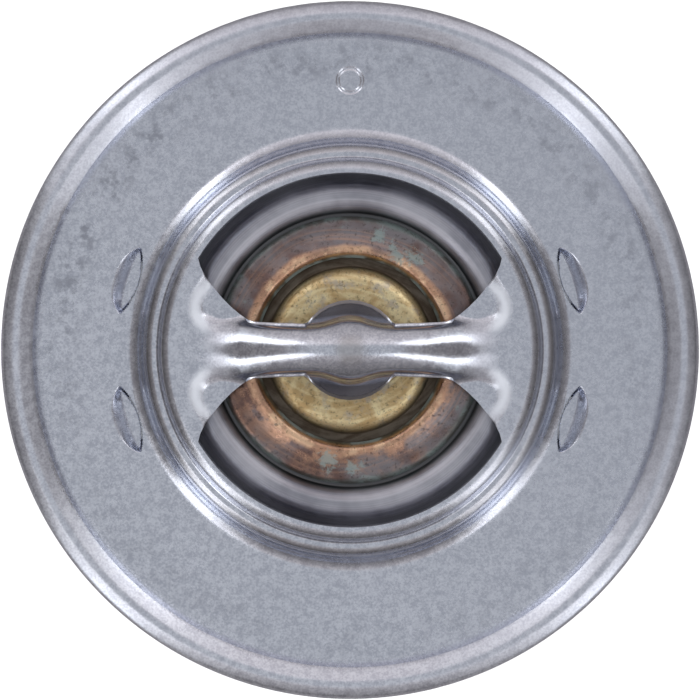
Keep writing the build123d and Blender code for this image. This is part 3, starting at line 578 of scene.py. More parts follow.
@dataclass(frozen=True)
class TarnishedCopper:
    """Spun copper, brown with age, rubbed on its bead with a painted highlight along its crest, and green in
    its corners.
    """

    name: str
    # Colour of the painted highlight along the bead.
    bead_glint: Rgb = (250, 212, 176)
    rubbed: Rgb = (210, 166, 138)
    brown: Rgb = (118, 94, 88)
    grey: Rgb = (140, 136, 140)
    dark: Rgb = (70, 64, 58)
    green: Rgb = (150, 170, 168)
    bead: float = 9.65 * MM
    outer: float = 12.9 * MM
    inner: float = 8.9 * MM
    smooth: float = 0.26
    dull: float = 0.46
    wander: float = 1.4 * MM
    warm_side: Point2 = (6 * MM, -7 * MM)
    warm_ring: Point2 = (10.2 * MM, 11.8 * MM)
    fray: float = 5.0
    verdigris: tuple[Corner, ...] = (
        (4.5, 9.2, 1.1), (6.0, 8.7, 0.9), (2.9, 10.9, 0.8), (-2.2, -10.6, 1.1), (0.3, -11.2, 0.9),
    )

    def material(self) -> Material:
        """Builds the finish, whose green patches are set by x, y and reach in millimetres."""
        g = Graph(self.name)
        radius = g.radius()
        cloud = g.noise(330, 4, 0.6)
        broad = g.noise(130, 3, 0.6)
        grain = g.noise(2600, 3, 0.65)
        streaks = g.noise(900, 4, 0.65, where=g.turned_place(4 * MM))
        wander = g.math("MULTIPLY_ADD", broad, self.wander, g.math("ADD", radius, -self.wander / 2))
        body = g.blend(g.range(g.mean(cloud, 0.5, broad), 0.4, 0.6), self.brown, self.grey)
        body = g.blend(g.times(g.range(streaks, 0.5, 0.68), 0.4), body, self.rubbed)
        warm = g.range(g.noise(420, 5, 0.7), 0.44, 0.6)
        warm = g.times(warm, g.range(g.axis(1), *self.warm_side, 0.12, 0.75))
        warm = g.times(warm, g.range(wander, *self.warm_ring, 1.0, 0.3))
        body = g.blend(warm, body, self.rubbed)
        bead = g.band(wander, self.bead - 0.5 * MM, self.bead + 0.5 * MM, 0.35 * MM)
        colour = g.blend(g.times(bead, g.range(cloud, 0.3, 0.55, 0.5, 1.0)), body, self.rubbed)
        # Painted highlight: near-white copper along the bead's crest, broken up by noise.
        lit = g.band(wander, self.bead - 0.35 * MM, self.bead + 0.4 * MM, 0.4 * MM)
        lit = g.times(lit, g.range(g.noise(620, 4, 0.7), 0.42, 0.62))
        colour = g.blend(lit, colour, self.bead_glint)
        rim = g.band(wander, self.outer - 0.45 * MM, self.outer + 1 * MM, 0.3 * MM)
        colour = g.blend(g.times(rim, 0.8), colour, self.dark)
        throat = g.band(radius, self.inner - 1 * MM, self.inner + 0.22 * MM, 0.16 * MM)
        colour = g.blend(g.times(throat, 0.8), colour, self.dark)
        patches = g.times(g.range(g.noise(300, 4, 0.65, stretch=0.4), 0.62, 0.7), 0.6)
        frayed = g.noise(1100, 5, 0.75, stretch=0.5)
        for x, y, reach in self.verdigris:
            along = g.math("ADD", g.axis(0), -x * MM)
            aside = g.math("ADD", g.axis(1), -y * MM)
            fray = self.fray * reach * MM
            apart = g.math("MULTIPLY_ADD", frayed, fray, g.math("ADD", g.length(along, aside), -fray / 2))
            patch = g.range(apart, 0.3 * reach * MM, 1.1 * reach * MM, 0.9, 0.0)
            patches = g.math("MAXIMUM", patches, patch)
        rimmed = g.times(rim, g.range(cloud, 0.42, 0.58, 0.2, 0.7))
        lined = g.times(throat, g.range(cloud, 0.4, 0.6, 0.25, 0.9))
        green = g.math("MAXIMUM", g.math("MAXIMUM", rimmed, lined), patches)
        green = g.times(green, g.range(g.axis(2), -1 * MM, 2 * MM, 0.0, 0.75))
        colour = g.blend(green, colour, self.green)
        specks = g.times(g.range(grain, 0.56, 0.68), 0.5)
        g.set(Base_Color=g.blend(specks, colour, self.dark))
        edge = g.math("MAXIMUM", green, g.times(rim, 0.5))
        g.set(Metallic=g.range(edge, 0.1, 0.6, 1.0, 0.3))
        rough = g.range(g.mean(cloud, 0.6, grain), 0.35, 0.65, self.smooth, self.dull)
        g.set(Roughness=g.math("ADD", rough, g.times(green, 0.2)))
        g.bump(g.mean(streaks, 0.4, grain), 0.03 * MM)
        return g.material


@dataclass(frozen=True)
class AgedBrass:
    """Machined brass, streaked and speckled with age, dark brown where the groove keeps dirt."""

    name: str
    yellow: Rgb = (248, 232, 186)
    brown: Rgb = (208, 180, 132)
    grey: Rgb = (196, 188, 176)
    dark: Rgb = (76, 66, 56)
    dirt: Rgb = (102, 94, 84)
    smooth: float = 0.36
    dull: float = 0.56
    boss: float = 7.95 * MM

    def material(self) -> Material:
        """Builds the finish."""
        g = Graph(self.name)
        radius = g.radius()
        blotch = g.noise(330, 5, 0.65, stretch=0.8)
        second = g.noise(520, 4, 0.65)
        grain = g.noise(3200, 3, 0.65)
        streaks = g.noise(1500, 3, 0.7, where=g.turned_place(12 * MM))
        tone = g.mean(blotch, 0.6, streaks)
        colour = g.blend(g.range(tone, 0.38, 0.62), self.yellow, self.brown)
        colour = g.blend(g.times(g.range(second, 0.5, 0.66), 0.75), colour, self.grey)
        colour = g.blend(g.times(g.range(g.noise(1400, 4, 0.7), 0.56, 0.66), 0.55), colour, self.brown)
        colour = g.blend(g.times(g.range(grain, 0.54, 0.68), 0.45), colour, self.dark)
        groove = g.range(radius, self.boss - 0.55 * MM, self.boss + 0.15 * MM)
        dirt = g.blend(g.range(g.mean(streaks, 0.6, second), 0.4, 0.62), self.dark, self.dirt)
        g.set(Base_Color=g.blend(groove, colour, dirt), Metallic=1.0)
        rough = g.range(g.mean(blotch, 0.6, grain), 0.38, 0.62,
                        self.smooth, self.dull)
        g.set(Roughness=rough)
        g.bump(g.mean(streaks, 0.5, grain), 0.03 * MM)
        return g.material


Finish = StampedSteel | DrawnSteel | PlainFinish | ShearedEdge | TarnishedCopper | AgedBrass


def wear(piece: Piece, finish: Material) -> None:
    """Puts one material on every slot of a piece."""
    if not piece.material_slots:
        piece.data.materials.append(finish)
    for holder in piece.material_slots:
        holder.material = finish


# ---------------------------------------------------------------- stamping


@dataclass
class Stamping:
    """The flange with its folded rim, neck, seat ledge, openings, arched bridge, pockets and mark.

    All sizes are in millimetres.
    """

    segments: int = 300
    sheet: float = 0.8
    flange_top: float = 0.95
    plateau: float = 6.4
    opening: float = 16.95
    corner_steps: int = 26
    samples: int = 240
    column_step: float = 0.36
    refined_from: float = 9.8
    refined_half: float = 8.0
    refined_depth: float = 1.5
    moved_from: float = 10.2
    strip_top: float = 10.35
    strip_reach: float = 12.9
    crest_fillet: float = 1.5
    root_sink: float = 0.1
    root_start: float = 8.6
    root_run: float = 1.6
    root_depth: float = 3.0
    root_fillet: float = 0.7
    ring_fade: float = 1.8
    unevenness: float = 0.02
    ripple_rate: float = 0.45
    ripple_fade: float = 1.5
    back_bend: float = 2.05
    back_slope: float = 1.25
    back_roll: float = 0.42
    side_slope: float = 3.0
    side_run: float = 0.3
    cone_slope: float = 1.25
    side_fade: Point2 = (7.0, 10.0)
    back_width: tuple[Point2, ...] = (
        (0.0, 2.95), (0.5, 2.92), (1.0, 2.82), (1.6, 2.62), (2.2, 2.42), (3.0, 2.24), (3.8, 2.17),
        (4.6, 2.15), (7.0, 2.24), (9.0, 2.38), (10.0, 2.48), (11.0, 2.6), (12.0, 2.75),
        (13.0, 2.95), (17.0, 3.6),
    )
    scoop_lines: tuple[Corner, ...] = ((10.0, 2.3, 90), (14.2, 3.0, 140), (14.75, 5.0, 212))
    scoop_fillets: Corner = (0.5, 1.4, 1.6)
    scoop_start: float = 9.0
    scoop_bend: float = 1.7
    scoop_drop: float = 0.62
    flare: float = 0.26
    flare_slope: float = 0.45
    flare_gap: float = 7.0
    edge_path: tuple[Point2, ...] = (
        (0.0, 4.8), (1.0, 4.69), (2.0, 4.36), (2.9, 3.82), (3.55, 3.24), (3.95, 2.72), (4.3, 2.5),
        (4.9, 2.52), (5.8, 2.56), (6.73, 2.58), (7.7, 2.62), (8.6, 2.66), (9.2, 2.72), (9.7, 2.88),
        (10.5, 3.4), (11.34, 4.1), (12.2, 4.96), (13.07, 6.02), (13.84, 7.06), (14.3, 8.0),
    )
    spread_from: int = 13
    pocket_angle: float = 17.5
    pocket_chord: float = 22.18
    pocket_half: float = 3.4
    pocket_bulge: float = 1.72
    pocket_cut: float = 1.0
    pocket_floor_bulge: float = 0.12
    pocket_drop: float = 0.72
    pocket_gap: float = 0.2
    pocket_gap_depth: float = 0.45
    pocket_square: float = 2.6
    pocket_under: float = 0.3
    pocket_under_cut: float = 0.1
    pocket_rest: float = 0.1
    pocket_reach: Point2 = (5.0, 4.0)
    pocket_end: float = 0.6
    pocket_zone: Corner = (4.3, -1.25, 2.6)
    pocket_cuts: int = 5
    flange_span: Point2 = (-0.2, 1.1)
    mark_radius: float = 25.9
    mark_size: float = 1.3
    mark_line: float = 0.25
    mark_depth: float = 0.08
    mark_margin: float = 0.6
    mark_cuts: int = 9
    burr: float = 0.13
    cut_angle: float = 55.0
    merge: float = 0.03
    ring_step: float = 11.0
    ring_gap: float = 0.62

    def skin(self) -> list[Corner]:
        """Corners of the inner skin from the folded edge to the openings."""
        under = [
            (30.45, 1.87, 0), (32.1, 2.6, 1.2), (33.5, 2.0, 0.9), (33.5, 0, 1.05),
            (30.2, 0, 0.8), (29.6, 0.15, 0.8), (19.25, 0.15, 2.5), (18.95, 3.7, 0.2),
            (17.75, 3.7, 1.0), (17.45, 5.6, 0.4), (15.0, 5.6, 0),
        ]
        upper = shifted(under, -self.sheet)
        return upper[:-1] + [(self.opening, self.plateau, 0)]

    def crest(self, x: float) -> float:
        """Height of the strip's back above the axis line."""
        sag = (self.strip_top - self.plateau) * (x / self.strip_reach) ** 2
        return soft_max(self.strip_top - sag, self.plateau - self.root_sink, self.crest_fillet)

    def back_drop(self, x: float, y: float) -> float:
        """How far the strip's rounded back, its steep sides and the hub's cone lie below the crest."""
        away, half = abs(y), between(self.back_width, abs(x))
        turn = half - self.back_roll
        level = min(away, turn)
        bend = self.back_bend * self.back_slope
        drop = self.back_slope * bend * math.log(math.cosh(level / bend))
        if away <= turn:
            return drop
        steep = self.back_slope * math.tanh(turn / bend)
        start, end = self.side_fade
        share = ease((abs(x) - start) / (end - start))
        side = self.side_slope + (self.cone_slope - self.side_slope) * share
        over = min(away, half) - turn
        drop += steep * over + (side - steep) * over ** 2 / (2 * self.back_roll)
        drop += side * min(max(away - half, 0.0), self.side_run)
        return drop + self.cone_slope * max(away - half - self.side_run, 0.0)

    def plate(self, x: float, y: float) -> float:
        """Height of the plateau with the drawn corners beside the strip's roots."""
        inward = self.scoop_start
        for (px, py, heading), width in zip(self.scoop_lines, self.scoop_fillets):
            turn = math.radians(heading)
            reach = (abs(x) - px) * math.cos(turn) + (abs(y) - py) * math.sin(turn)
            inward = -soft_max(-inward, -reach, width)
        return self.plateau - self.scoop_drop * ease(inward / self.scoop_bend + 0.5)

    def height(self, x: float, y: float) -> float:
        """Height of the bridge and its roots over a point."""
        back = self.crest(abs(x)) - self.back_drop(x, y)
        if abs(x) < self.root_start:
            return back
        sunk = self.root_depth * (1 - ease((abs(x) - self.root_start) / self.root_run))
        top = soft_max(back, self.plate(x, y) - sunk, self.root_fillet)
        return top + (self.plateau - top) * ease(1 - (self.opening - math.hypot(x, y)) / self.ring_fade)

    def ripple(self, x: float, y: float) -> float:
        """Slight unevenness of the pressed bridge, gone where it meets the plateau's ring."""
        fade = ease((self.opening - math.hypot(x, y)) / self.ripple_fade)
        return self.unevenness * noise.noise(Vector((x, y, 0)) * self.ripple_rate) * fade

    def columns(self) -> list[tuple[float, float, float]]:
        """Edge point and axis crossing of each column of one half of the bridge."""
        angle = 2 * math.pi * self.corner_steps / self.segments
        corner = (self.opening * math.cos(angle), self.opening * math.sin(angle))
        path = [*self.edge_path, corner]
        spots = divided(path, self.column_step)
        start = self.edge_path[self.spread_from]
        out = []
        for x, y in spots:
            spread = ease((y - start[1]) / (corner[1] - start[1])) if x > start[0] else 0.0
            out.append((x, y, x + (self.opening - corner[0]) * spread))
        return out

    def across(self, column: tuple[float, float, float], rows: int, last: bool) -> list[Vector]:
        """Evenly spaced points of one column, from the axis line to the edge.

        Args:
            column: edge x, edge y and axis crossing.
            rows: number of steps from the axis to the edge.
            last: True for the column on the plateau's ring.
        """
        ex, ey, ax = column
        depth = ax - ex
        samples = []
        for index in range(self.samples + 1):
            share = index / self.samples
            if depth > STRAIGHT_BOW:
                radius = (depth ** 2 + ey ** 2) / (2 * depth)
                turn = math.asin(min(ey / radius, 1.0)) * share
                x, y = ax - radius * (1 - math.cos(turn)), radius * math.sin(turn)
            else:
                x, y = ex, ey * share
            z = self.plateau if last else self.height(x, y)
            samples.append(Vector((x, y, z)))
        if ex < self.opening - self.flare_gap:
            self.turn_out(samples)
        lengths = [0.0]
        for first, second in zip(samples, samples[1:]):
            lengths.append(lengths[-1] + (second - first).length)
        out = []
        spot = 0
        for row in range(rows + 1):
            goal = lengths[-1] * row / rows
            while spot < self.samples - 1 and lengths[spot + 1] < goal:
                spot += 1
            step = lengths[spot + 1] - lengths[spot]
            share = (goal - lengths[spot]) / step if step > 0 else 0.0
            out.append(samples[spot].lerp(samples[spot + 1], min(max(share, 0.0), 1.0)))
        return out

    def turn_out(self, samples: list[Vector]) -> None:
        """Flattens the last stretch of a column into the narrow flare left by the shears."""
        edge = samples[-1].xy
        start = next(index for index, spot in enumerate(samples) if (spot.xy - edge).length < self.flare)
        for spot in samples[start + 1:]:
            spot.z = samples[start].z - (spot.xy - samples[start].xy).length * self.flare_slope

    def refine_bridge(self, piece: Piece) -> None:
        """Halves the grid of the bridge's roots and sets the new points on its surface."""
        floor = self.plateau - self.refined_depth

        def root(spot: Vector) -> bool:
            """True for the faces beside the strip's roots."""
            inside = self.refined_from < abs(spot.x) and abs(spot.y) < self.refined_half
            return inside and spot.z > floor and spot.xy.length < self.opening - 0.4

        bpy.ops.mesh.select_all(action="DESELECT")
        choose_faces(piece, root)
        bpy.ops.mesh.subdivide(number_cuts=1)
        mesh = bmesh.from_edit_mesh(piece.data)
        for vertex in mesh.verts:
            x, y, z = vertex.co / MM
            if self.moved_from < abs(x) and z > floor and math.hypot(x, y) < self.opening - 0.3:
                vertex.co.z = (self.height(x, y) + self.ripple(x, y)) * MM
        bmesh.update_edit_mesh(piece.data)

    def make_bridge(self) -> Piece:
        """Shapes a grid into the arched bridge and its roots."""
        columns = self.columns()
        span, width = len(columns) - 1, self.corner_steps
        deselect()
        bpy.ops.mesh.primitive_grid_add(x_subdivisions=2 * span, y_subdivisions=2 * width, size=2.0)
        bridge = settle(bpy.context.object, "bridge")
        table = [self.across(column, width, index == span) for index, column in enumerate(columns)]
        for vertex in bridge.data.vertices:
            along = round(vertex.co.x * span)
            side = round(vertex.co.y * width)
            spot = table[abs(along)][abs(side)]
            x = math.copysign(spot.x, along) if along else 0.0
            y = math.copysign(spot.y, side) if side else 0.0
            vertex.co = Vector((x, y, spot.z + self.ripple(x, y))) * MM
        return bridge

    def pocket_local(self, spot: Vector) -> Point2 | None:
        """Place of a point along and outward of the nearest pocket's chord, if it is near one."""
        angle = math.degrees(math.atan2(spot.y, spot.x))
        first = self.pocket_angle
        side, depth = self.pocket_reach
        for centre in (first, -first, 180 - first, first - 180):
            turn = math.radians(angle - centre)
            reach = math.hypot(spot.x, spot.y)
            along, outward = reach * math.sin(turn), reach * math.cos(turn) - self.pocket_chord
            if abs(along) < side and abs(outward) < depth and math.cos(turn) > 0:
                return along, outward
        return None

    def pocket_depth(self, along: float, outward: float, under: bool) -> float:
        """How far the sheet is pressed down at a point of a pocket."""
        wide = self.pocket_under if under else 0.0
        half = self.pocket_half + wide
        if abs(along) >= half:
            return 0.0
        share = 1 - (abs(along) / half) ** self.pocket_square
        cut = self.pocket_cut - (self.pocket_under_cut if under else 0.0)
        cut *= (along / self.pocket_half) ** 2 - 1
        outer = (self.pocket_bulge + wide) * share
        if not cut <= outward < outer:
            return 0.0
        floor = self.pocket_floor_bulge * share
        slope = ease((outer - outward) / (outer - floor + self.pocket_rest))
        end = ease((half - abs(along)) / self.pocket_end)
        if under:
            return self.pocket_drop * slope * end
        gap = 1 - ease((outward - cut) / self.pocket_gap)
        return (self.pocket_drop * slope + self.pocket_gap_depth * gap) * end

    def press_pockets(self, piece: Piece) -> None:
        """Refines the sheet near the pockets and presses them down."""
        low, high = self.flange_span

        def near(spot: Vector) -> bool:
            """True for the flange's faces near a pocket."""
            local = self.pocket_local(spot)
            half, inner, outer = self.pocket_zone
            inside = local is not None and abs(local[0]) < half and inner < local[1] < outer
            return inside and low < spot.z < high

        edit(piece)
        choose_faces(piece, near)
        bpy.ops.mesh.subdivide(number_cuts=self.pocket_cuts)
        bpy.ops.object.mode_set(mode="OBJECT")
        middle = self.flange_top - self.sheet / 2
        for vertex in piece.data.vertices:
            spot = vertex.co / MM
            local = self.pocket_local(spot)
            if local is None or not low < spot.z < high:
                continue
            depth = self.pocket_depth(local[0], local[1], spot.z < middle)
            vertex.co.z -= depth * MM

    def press_mark(self, piece: Piece) -> None:
        """Refines the sheet round the mark and presses its ring in."""
        centre = Vector((0, self.mark_radius))
        floor = self.flange_top - 0.1

        def near(spot: Vector) -> bool:
            """True for the flange's upper faces round the mark."""
            return (spot.xy - centre).length < self.mark_size + self.mark_margin and spot.z > floor

        edit(piece)
        choose_faces(piece, near)
        bpy.ops.mesh.subdivide(number_cuts=self.mark_cuts)
        bpy.ops.object.mode_set(mode="OBJECT")
        for vertex in piece.data.vertices:
            spot = vertex.co / MM
            if spot.z < floor:
                continue
            away = abs((spot.xy - centre).length - self.mark_size + self.mark_line / 2)
            if away < self.mark_line:
                vertex.co.z -= self.mark_depth * (1 - ease(away / self.mark_line)) * MM

    def soften_cuts(self, piece: Piece) -> None:
        """Breaks the sheared edges of the openings, the bridge and the folded rim."""
        edit(piece)
        limit = math.radians(self.cut_angle)

        def sheared(edge: bmesh.types.BMEdge) -> bool:
            """True for a sharp edge, as the sheet's cut sides have."""
            return len(edge.link_faces) == 2 and edge.calc_face_angle(0.0) > limit

        count = choose_edges(piece, sheared)
        bpy.ops.mesh.bevel(offset=self.burr * MM, segments=2, clamp_overlap=True, material=1)
        LOG.info("sheared edges softened: %d", count)
        bpy.ops.object.mode_set(mode="OBJECT")

    def make(self, plated: Material, sheared: Material) -> Piece:
        """Builds the stamping as one closed sheet, plated on its faces and bare on its cut edges."""
        rings = rounded(self.skin(), self.ring_step, self.ring_gap)
        skin = turned_rings(rings, self.segments, "stamped_sheet")
        bridge = self.make_bridge()
        deselect()
        bridge.select_set(True)
        skin.select_set(True)
        bpy.context.view_layer.objects.active = skin
        bpy.ops.object.join()
        weld(skin, self.merge)
        self.refine_bridge(skin)
        bpy.ops.object.mode_set(mode="OBJECT")
        up = max(skin.data.polygons, key=lambda face: face.center.z).normal.z > 0
        wall = skin.modifiers.new("wall", "SOLIDIFY")
        wall.thickness = self.sheet * MM
        wall.offset = -1.0 if up else 1.0
        wall.use_even_offset = True
        wall.use_quality_normals = True
        bpy.ops.object.modifier_apply(modifier=wall.name)
        skin.data.materials.append(plated)
        skin.data.materials.append(sheared)
        self.soften_cuts(skin)
        self.press_pockets(skin)
        self.press_mark(skin)
        smooth(skin)
        LOG.info("stamped_sheet: %d faces", len(skin.data.polygons))
        return skin


# ---------------------------------------------------------------- turned pieces


@dataclass
class Turning:
    """A closed outline turned round the valve's axis. All sizes are in millimetres."""

    name: str
    node: str
    body: Body
    slot: str
    outline: list[Corner]
    sheet: float = 0.0
    step: float = 10.0
    longest: float = 0.8
    merge: float = 0.002
    segments: int = 192

    def make(self, finish: Material) -> Piece:
        """Turns the outline, gives it one finish and fits the piece to its body."""
        points = rounded(self.outline, self.step, self.longest)
        if self.sheet:
            points += rounded(shifted(self.outline, self.sheet), self.step, self.longest)[::-1]
        piece = turned_rings([*points, points[0]], self.segments, self.name)
        weld(piece, self.merge)
        smooth(piece)
        wear(piece, finish)
        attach(piece, self.body.value)
        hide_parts(self.node)
        LOG.info("%s rides on %s", self.name, self.body.value)
        return piece


# ---------------------------------------------------------------- springs


@dataclass
class Coil:
    """A round wire compression spring, whose wire is given by its radius. All sizes are in millimetres."""

    name: str
    node: str
    body: Body
    joint: str
    top_radius: float
    bottom_radius: float
    top: float
    bottom: float
    turns: float
    wire: float
    anchor: float
    travel: float
    sides: int = 16
    steps: int = 40
    dead: float = 0.75
    soft_share: float = 0.35

    def height(self, turn: float) -> float:
        """Height of the wire's centre after some turns from the lower end, flat over the dead turns."""
        share = min(max((turn - self.dead) / (self.turns - 2 * self.dead), 0.0), 1.0)
        rise = self.soft_share * ease(share) + (1 - self.soft_share) * share
        return self.bottom + self.wire + (self.top - self.bottom - 2 * self.wire) * rise

    def make(self) -> Piece:
        """Sweeps the wire's section round the axis step by step."""
        deselect()
        start = Vector((self.bottom_radius, 0.0, self.height(0))) * MM
        bpy.ops.mesh.primitive_circle_add(
            vertices=self.sides, radius=self.wire * MM, fill_type="NGON", location=start,
            rotation=(math.pi / 2, 0, 0),
        )
        coil = settle(bpy.context.object, self.name)
        bpy.ops.object.mode_set(mode="EDIT")
        bpy.ops.mesh.select_mode(type="FACE")
        bpy.ops.mesh.select_all(action="SELECT")
        count = round(self.turns * self.steps)
        grow = (self.top_radius - self.bottom_radius) / count
        step = 2 * math.pi / self.steps
        for index in range(count):
            turn, after = self.turns * index / count, self.turns * (index + 1) / count
            angle = 2 * math.pi * turn
            rise = self.height(after) - self.height(turn)
            move = Vector((grow * math.cos(angle), grow * math.sin(angle), rise)) * MM
            bpy.ops.mesh.extrude_region_move(TRANSFORM_OT_translate={"value": move})
            bpy.ops.transform.rotate(value=-step, orient_axis="Z", center_override=(0, 0, 0))
        bpy.ops.mesh.select_all(action="SELECT")
        bpy.ops.mesh.normals_make_consistent(inside=False)
        smooth(coil, 40.0)
        return coil

    def fit(self, coil: Piece) -> None:
        """Seats the spring on its body, in place of its solid, with a mesh of its own."""
        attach(coil, self.body.value)
        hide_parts(self.node)
        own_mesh(coil)


# ---------------------------------------------------------------- studio


def stand(azimuth: float, tilt: float, distance: float) -> Vector:
    """Spot at a distance from the part, found from a direction and an angle from straight up."""
    turn, lean = math.radians(azimuth), math.radians(tilt)
    flat = math.sin(lean)
    return Vector((math.cos(turn) * flat, math.sin(turn) * flat, math.cos(lean))) * distance


def facing(spot: Vector) -> Euler:
    """Turn of a lamp or card at a spot, so that it faces the part."""
    return (-spot).to_track_quat("-Z", "Y").to_euler()


@dataclass
class SoftBox:
    """One upright rectangular lamp that faces the part. Its sizes are in metres."""

    name: str
    azimuth: float
    tilt: float
    height: float
    level: float
    distance: float = 0.6
    width: float = 0.13

    def make(self) -> None:
        """Adds the lamp at a plain radiance, turned to the part."""
        lamp = bpy.data.lights.new(self.name, "AREA")
        lamp.shape = "RECTANGLE"
        lamp.size, lamp.size_y = self.width, self.height
        lamp.energy = math.pi * self.width * self.height * self.level
        holder = bpy.data.objects.new(self.name, lamp)
        bpy.context.scene.collection.objects.link(holder)
        holder.location = stand(self.azimuth, self.tilt, self.distance)
        holder.rotation_euler = facing(holder.location)
        holder.visible_camera = False


@dataclass
class Card:
    """A large card that only the part's metal reflects. Its sizes are in metres."""

    name: str
    azimuth: float
    upper: float
    lower: float
    width: float = 0.9
    height: float = 0.95
    tilt: float = 64.0
    distance: float = 0.66
    tint: tuple[float, float, float] = (1.0, 0.93, 0.93)

    def make(self) -> None:
        """Adds the card, turned to the part and hidden from the camera."""
        deselect()
        spot = stand(self.azimuth, self.tilt, self.distance)
        bpy.ops.mesh.primitive_plane_add(size=1.0, location=spot)
        card = bpy.context.object
        card.name = self.name
        card.scale = (self.width, self.height, 1)
        card.rotation_euler = facing(spot)
        g = Graph(self.name)
        up = g.range(g.axis(1), -0.5, 0.5, self.lower, self.upper, smooth=False)
        g.set(Base_Color=(0.0, 0.0, 0.0, 1.0), Roughness=1.0, Specular_IOR_Level=0.0)
        g.set(Emission_Color=(*self.tint, 1.0), Emission_Strength=up)
        card.data.materials.append(g.material)
        card.visible_camera = card.visible_diffuse = card.visible_shadow = False


@dataclass
class Studio:
    """Floor, surroundings, lamps and camera.

    The eye's height is in metres. The floor's height, the width that the picture shows and the height
    of the flange's rim, where that width is measured, are in millimetres.
    """

    floor_height: float = -46.9
    eye: float = 0.9
    seen: float = 67.2
    seen_height: float = 1.3
    sensor: float = 36.0
    sky: tuple[tuple[float, Corner], ...] = (
        (0.0, (0.86, 0.87, 0.88)), (0.35, (0.6, 0.61, 0.63)), (1.0, (0.47, 0.48, 0.5)),
    )
    lamps: tuple[SoftBox, ...] = (
        SoftBox("lamp_ne", 45, 60, 0.46, 1.75), SoftBox("lamp_nw", 134, 60, 0.46, 1.75),
        SoftBox("lamp_sw", 225, 55, 0.58, 1.8), SoftBox("lamp_se", 316, 55, 0.58, 1.8),
    )
    cards: tuple[Card, ...] = (
        Card("card_north", 90, 0.88, 0.22), Card("card_south", 270, 0.5, 0.02),
        Card("card_east", 0, 0.31, 0.03), Card("card_west", 180, 0.31, 0.03),
        Card("card_table", 0, 0.3, 0.3, width=1.6, height=1.6, tilt=180.0, distance=0.0467),
    )

    def make_floor(self) -> None:
        """Adds the plain pale floor."""
        deselect()
        bpy.ops.mesh.primitive_circle_add(vertices=64, radius=3.0, fill_type="NGON",
                                          location=(0, 0, (self.floor_height - 0.05) * MM))
        floor = settle(bpy.context.object, "floor")
        g = Graph("floor_paper")
        grain = g.noise(300, 2)
        g.set(Base_Color=g.blend(g.range(grain, 0.3, 0.7), (246, 246, 247), (250, 250, 250)), Roughness=0.7)
        path = g.add("LightPath")
        seen = g.math("ADD", path.outputs["Is Camera Ray"], path.outputs["Is Glossy Ray"])
        g.set(Emission_Color=(1.0, 1.0, 1.0, 1.0), Emission_Strength=g.times(seen, 0.6))
        floor.data.materials.append(g.material)

    def make_world(self) -> None:
        """Sets plain surroundings, pale near the horizon and grey overhead."""
        world = bpy.data.worlds.new("studio")
        bpy.context.scene.world = world
        world.use_nodes = True
        tree = world.node_tree
        tree.nodes.clear()
        place, split, ramp, back, out = (
            tree.nodes.new("ShaderNode" + kind)
            for kind in ("TexCoord", "SeparateXYZ", "ValToRGB", "Background", "OutputWorld")
        )
        tree.links.new(place.outputs["Generated"], split.inputs[0])
        tree.links.new(split.outputs[2], ramp.inputs[0])
        tree.links.new(ramp.outputs[0], back.inputs["Color"])
        tree.links.new(back.outputs[0], out.inputs[0])
        stops = ramp.color_ramp.elements
        stops.new(self.sky[1][0])
        for stop, (position, colour) in zip(stops, self.sky):
            stop.position = position
            stop.color = (*colour, 1.0)

    def make_camera(self) -> None:
        """Looks straight down the valve's axis."""
        data = bpy.data.cameras.new("camera")
        data.sensor_width = self.sensor
        data.lens = self.sensor * (self.eye - self.seen_height * MM) / (self.seen * MM)
        data.clip_start, data.clip_end = 0.01, 20.0
        camera = bpy.data.objects.new("camera", data)
        bpy.context.scene.collection.objects.link(camera)
        camera.location = (0, 0, self.eye)
        bpy.context.scene.camera = camera

    def make(self) -> None:
        """Builds the whole studio."""
        self.make_floor()
        self.make_world()
        for light in (*self.lamps, *self.cards):
            light.make()
        self.make_camera()
        bpy.context.scene.view_settings.view_transform = "Standard"


# ---------------------------------------------------------------- assembly


COILS = (
    Coil("main_coil", "main_spring", Body.FRAME, "valve_lift", top_radius=15.6, bottom_radius=12.2, top=2.38,
         bottom=-14.92, turns=4.0, wire=0.8, anchor=-15.0, travel=9.0),
    Coil("bypass_coil", "bypass_spring", Body.ELEMENT, "bypass_give", top_radius=4.2, bottom_radius=4.2,
         top=-20.08, bottom=-33.52, turns=6.5, wire=0.5, anchor=-20.0, travel=5.0, steps=28),
)

TURNINGS = (
    (Turning("drawn_disc", "valve_disc", Body.ELEMENT, "disc_steel", [
        (9.65, 0.8, 0), (12.3, 0.8, 0), (12.3, 2.95, 0), (13.15, 2.95, 0.3), (13.6, 4.6, 1.7),
        (15.75, 4.1, 1.6), (17.1, 2.65, 0.3), (17.4, 3.58, 0.3), (18.3, 3.58, 0),
    ], -0.8), DrawnSteel("disc_sheet", smooth=0.34, dull=0.5)),
    (Turning("rolled_cup", "wax_cup", Body.ELEMENT, "copper", [
        (8.85, 3.25, 0), (9.5, 4.0, 0.7), (11.2, 3.5, 1.2), (12.9, 3.3, 0.8), (12.9, 0.8, 0.3),
        (9.0, 0.8, 0.6), (9.0, -19.0, 2.6), (0.02, -19.0, 0),
    ], -0.6), TarnishedCopper("tarnished_copper")),
    (Turning("guide_boss", "piston_guide", Body.ELEMENT, "brass", [
        (2.25, 2.75, 0), (3.4, 2.75, 0.05), (3.4, 2.0, 0.05), (11.95, 2.0, 0.05), (11.95, 2.9, 0.05),
        (8.05, 2.9, 0.3), (7.1, 3.9, 1.3), (3.4, 3.9, 0.1), (3.4, 4.7, 0.1), (2.9, 5.2, 0.1), (2.25, 5.2, 0),
    ]), AgedBrass("aged_brass")),
)


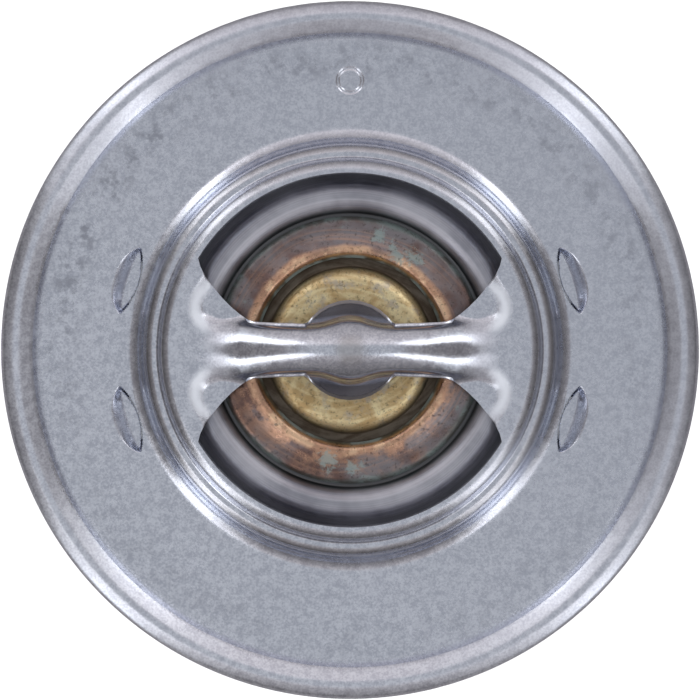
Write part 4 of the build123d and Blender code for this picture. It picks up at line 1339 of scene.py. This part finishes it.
@dataclass
class Thermostat:
    """Every piece of the thermostat with its finish."""

    plated: StampedSteel = StampedSteel("plated_sheet")
    spring_finish: PlainFinish = PlainFinish("spring_wire", (150, 152, 158), (96, 98, 104))

    def dress_nodes(self) -> None:
        """Gives each remaining solid its finish."""
        finishes: dict[str, Finish] = {
            "lower_frame": PlainFinish(
                "frame_sheet", (196, 199, 204), (148, 151, 158), 0.26, 0.45, patch=(500, 4, 0.6),
                grain=(2200, 3, 0.65), tone_share=0.4, relief_share=0.4, tone_reach=0.15, relief=0.014 * MM,
            ),
            "bypass_stem": AgedBrass("stem_brass", (214, 184, 116), (168, 136, 80)),
            "piston": PlainFinish("ground_rod", (206, 208, 212), (176, 178, 184), 0.12, 0.24),
            "retaining_ring": PlainFinish("dark_clip", (112, 112, 116), (74, 74, 78), 0.3, 0.5),
            "bypass_disc": DrawnSteel("bypass_sheet", (188, 190, 194), (140, 142, 148)),
            "chafe_washer": compound("washer_compound", (236, 236, 230), (214, 214, 208), 0.35, 0.55),
            "rubber_sleeve": compound("sleeve_rubber", (40, 40, 42), (24, 24, 26), 0.5, 0.75),
            "wax_charge": compound("wax_filling", (196, 150, 112), (168, 120, 84), 0.4, 0.6),
        }
        for name, finish in finishes.items():
            wear(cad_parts[name], finish.material())
            LOG.info("%s wears %s", name, finish.name)

    def build(self) -> None:
        """Builds the new pieces in order and dresses everything."""
        sheet = Stamping().make(self.plated.material(), ShearedEdge("sheared_edge").material())
        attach(sheet, Body.FRAME.value)
        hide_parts("flange_bridge")
        LOG.info("stamped_sheet rides on %s", Body.FRAME.value)
        wire = self.spring_finish.material()
        for coil in COILS:
            piece = coil.make()
            wear(piece, wire)
            coil.fit(piece)
            LOG.info("%s rides on %s", coil.name, coil.body.value)
        for turning, finish in TURNINGS:
            turning.make(finish.material())
        self.dress_nodes()


def main() -> None:
    """Builds the part and its studio."""
    logging.basicConfig(level=logging.INFO, format="%(name)s: %(message)s")
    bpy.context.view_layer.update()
    Thermostat().build()
    Studio().make()


if __name__ == "__main__":
    main()
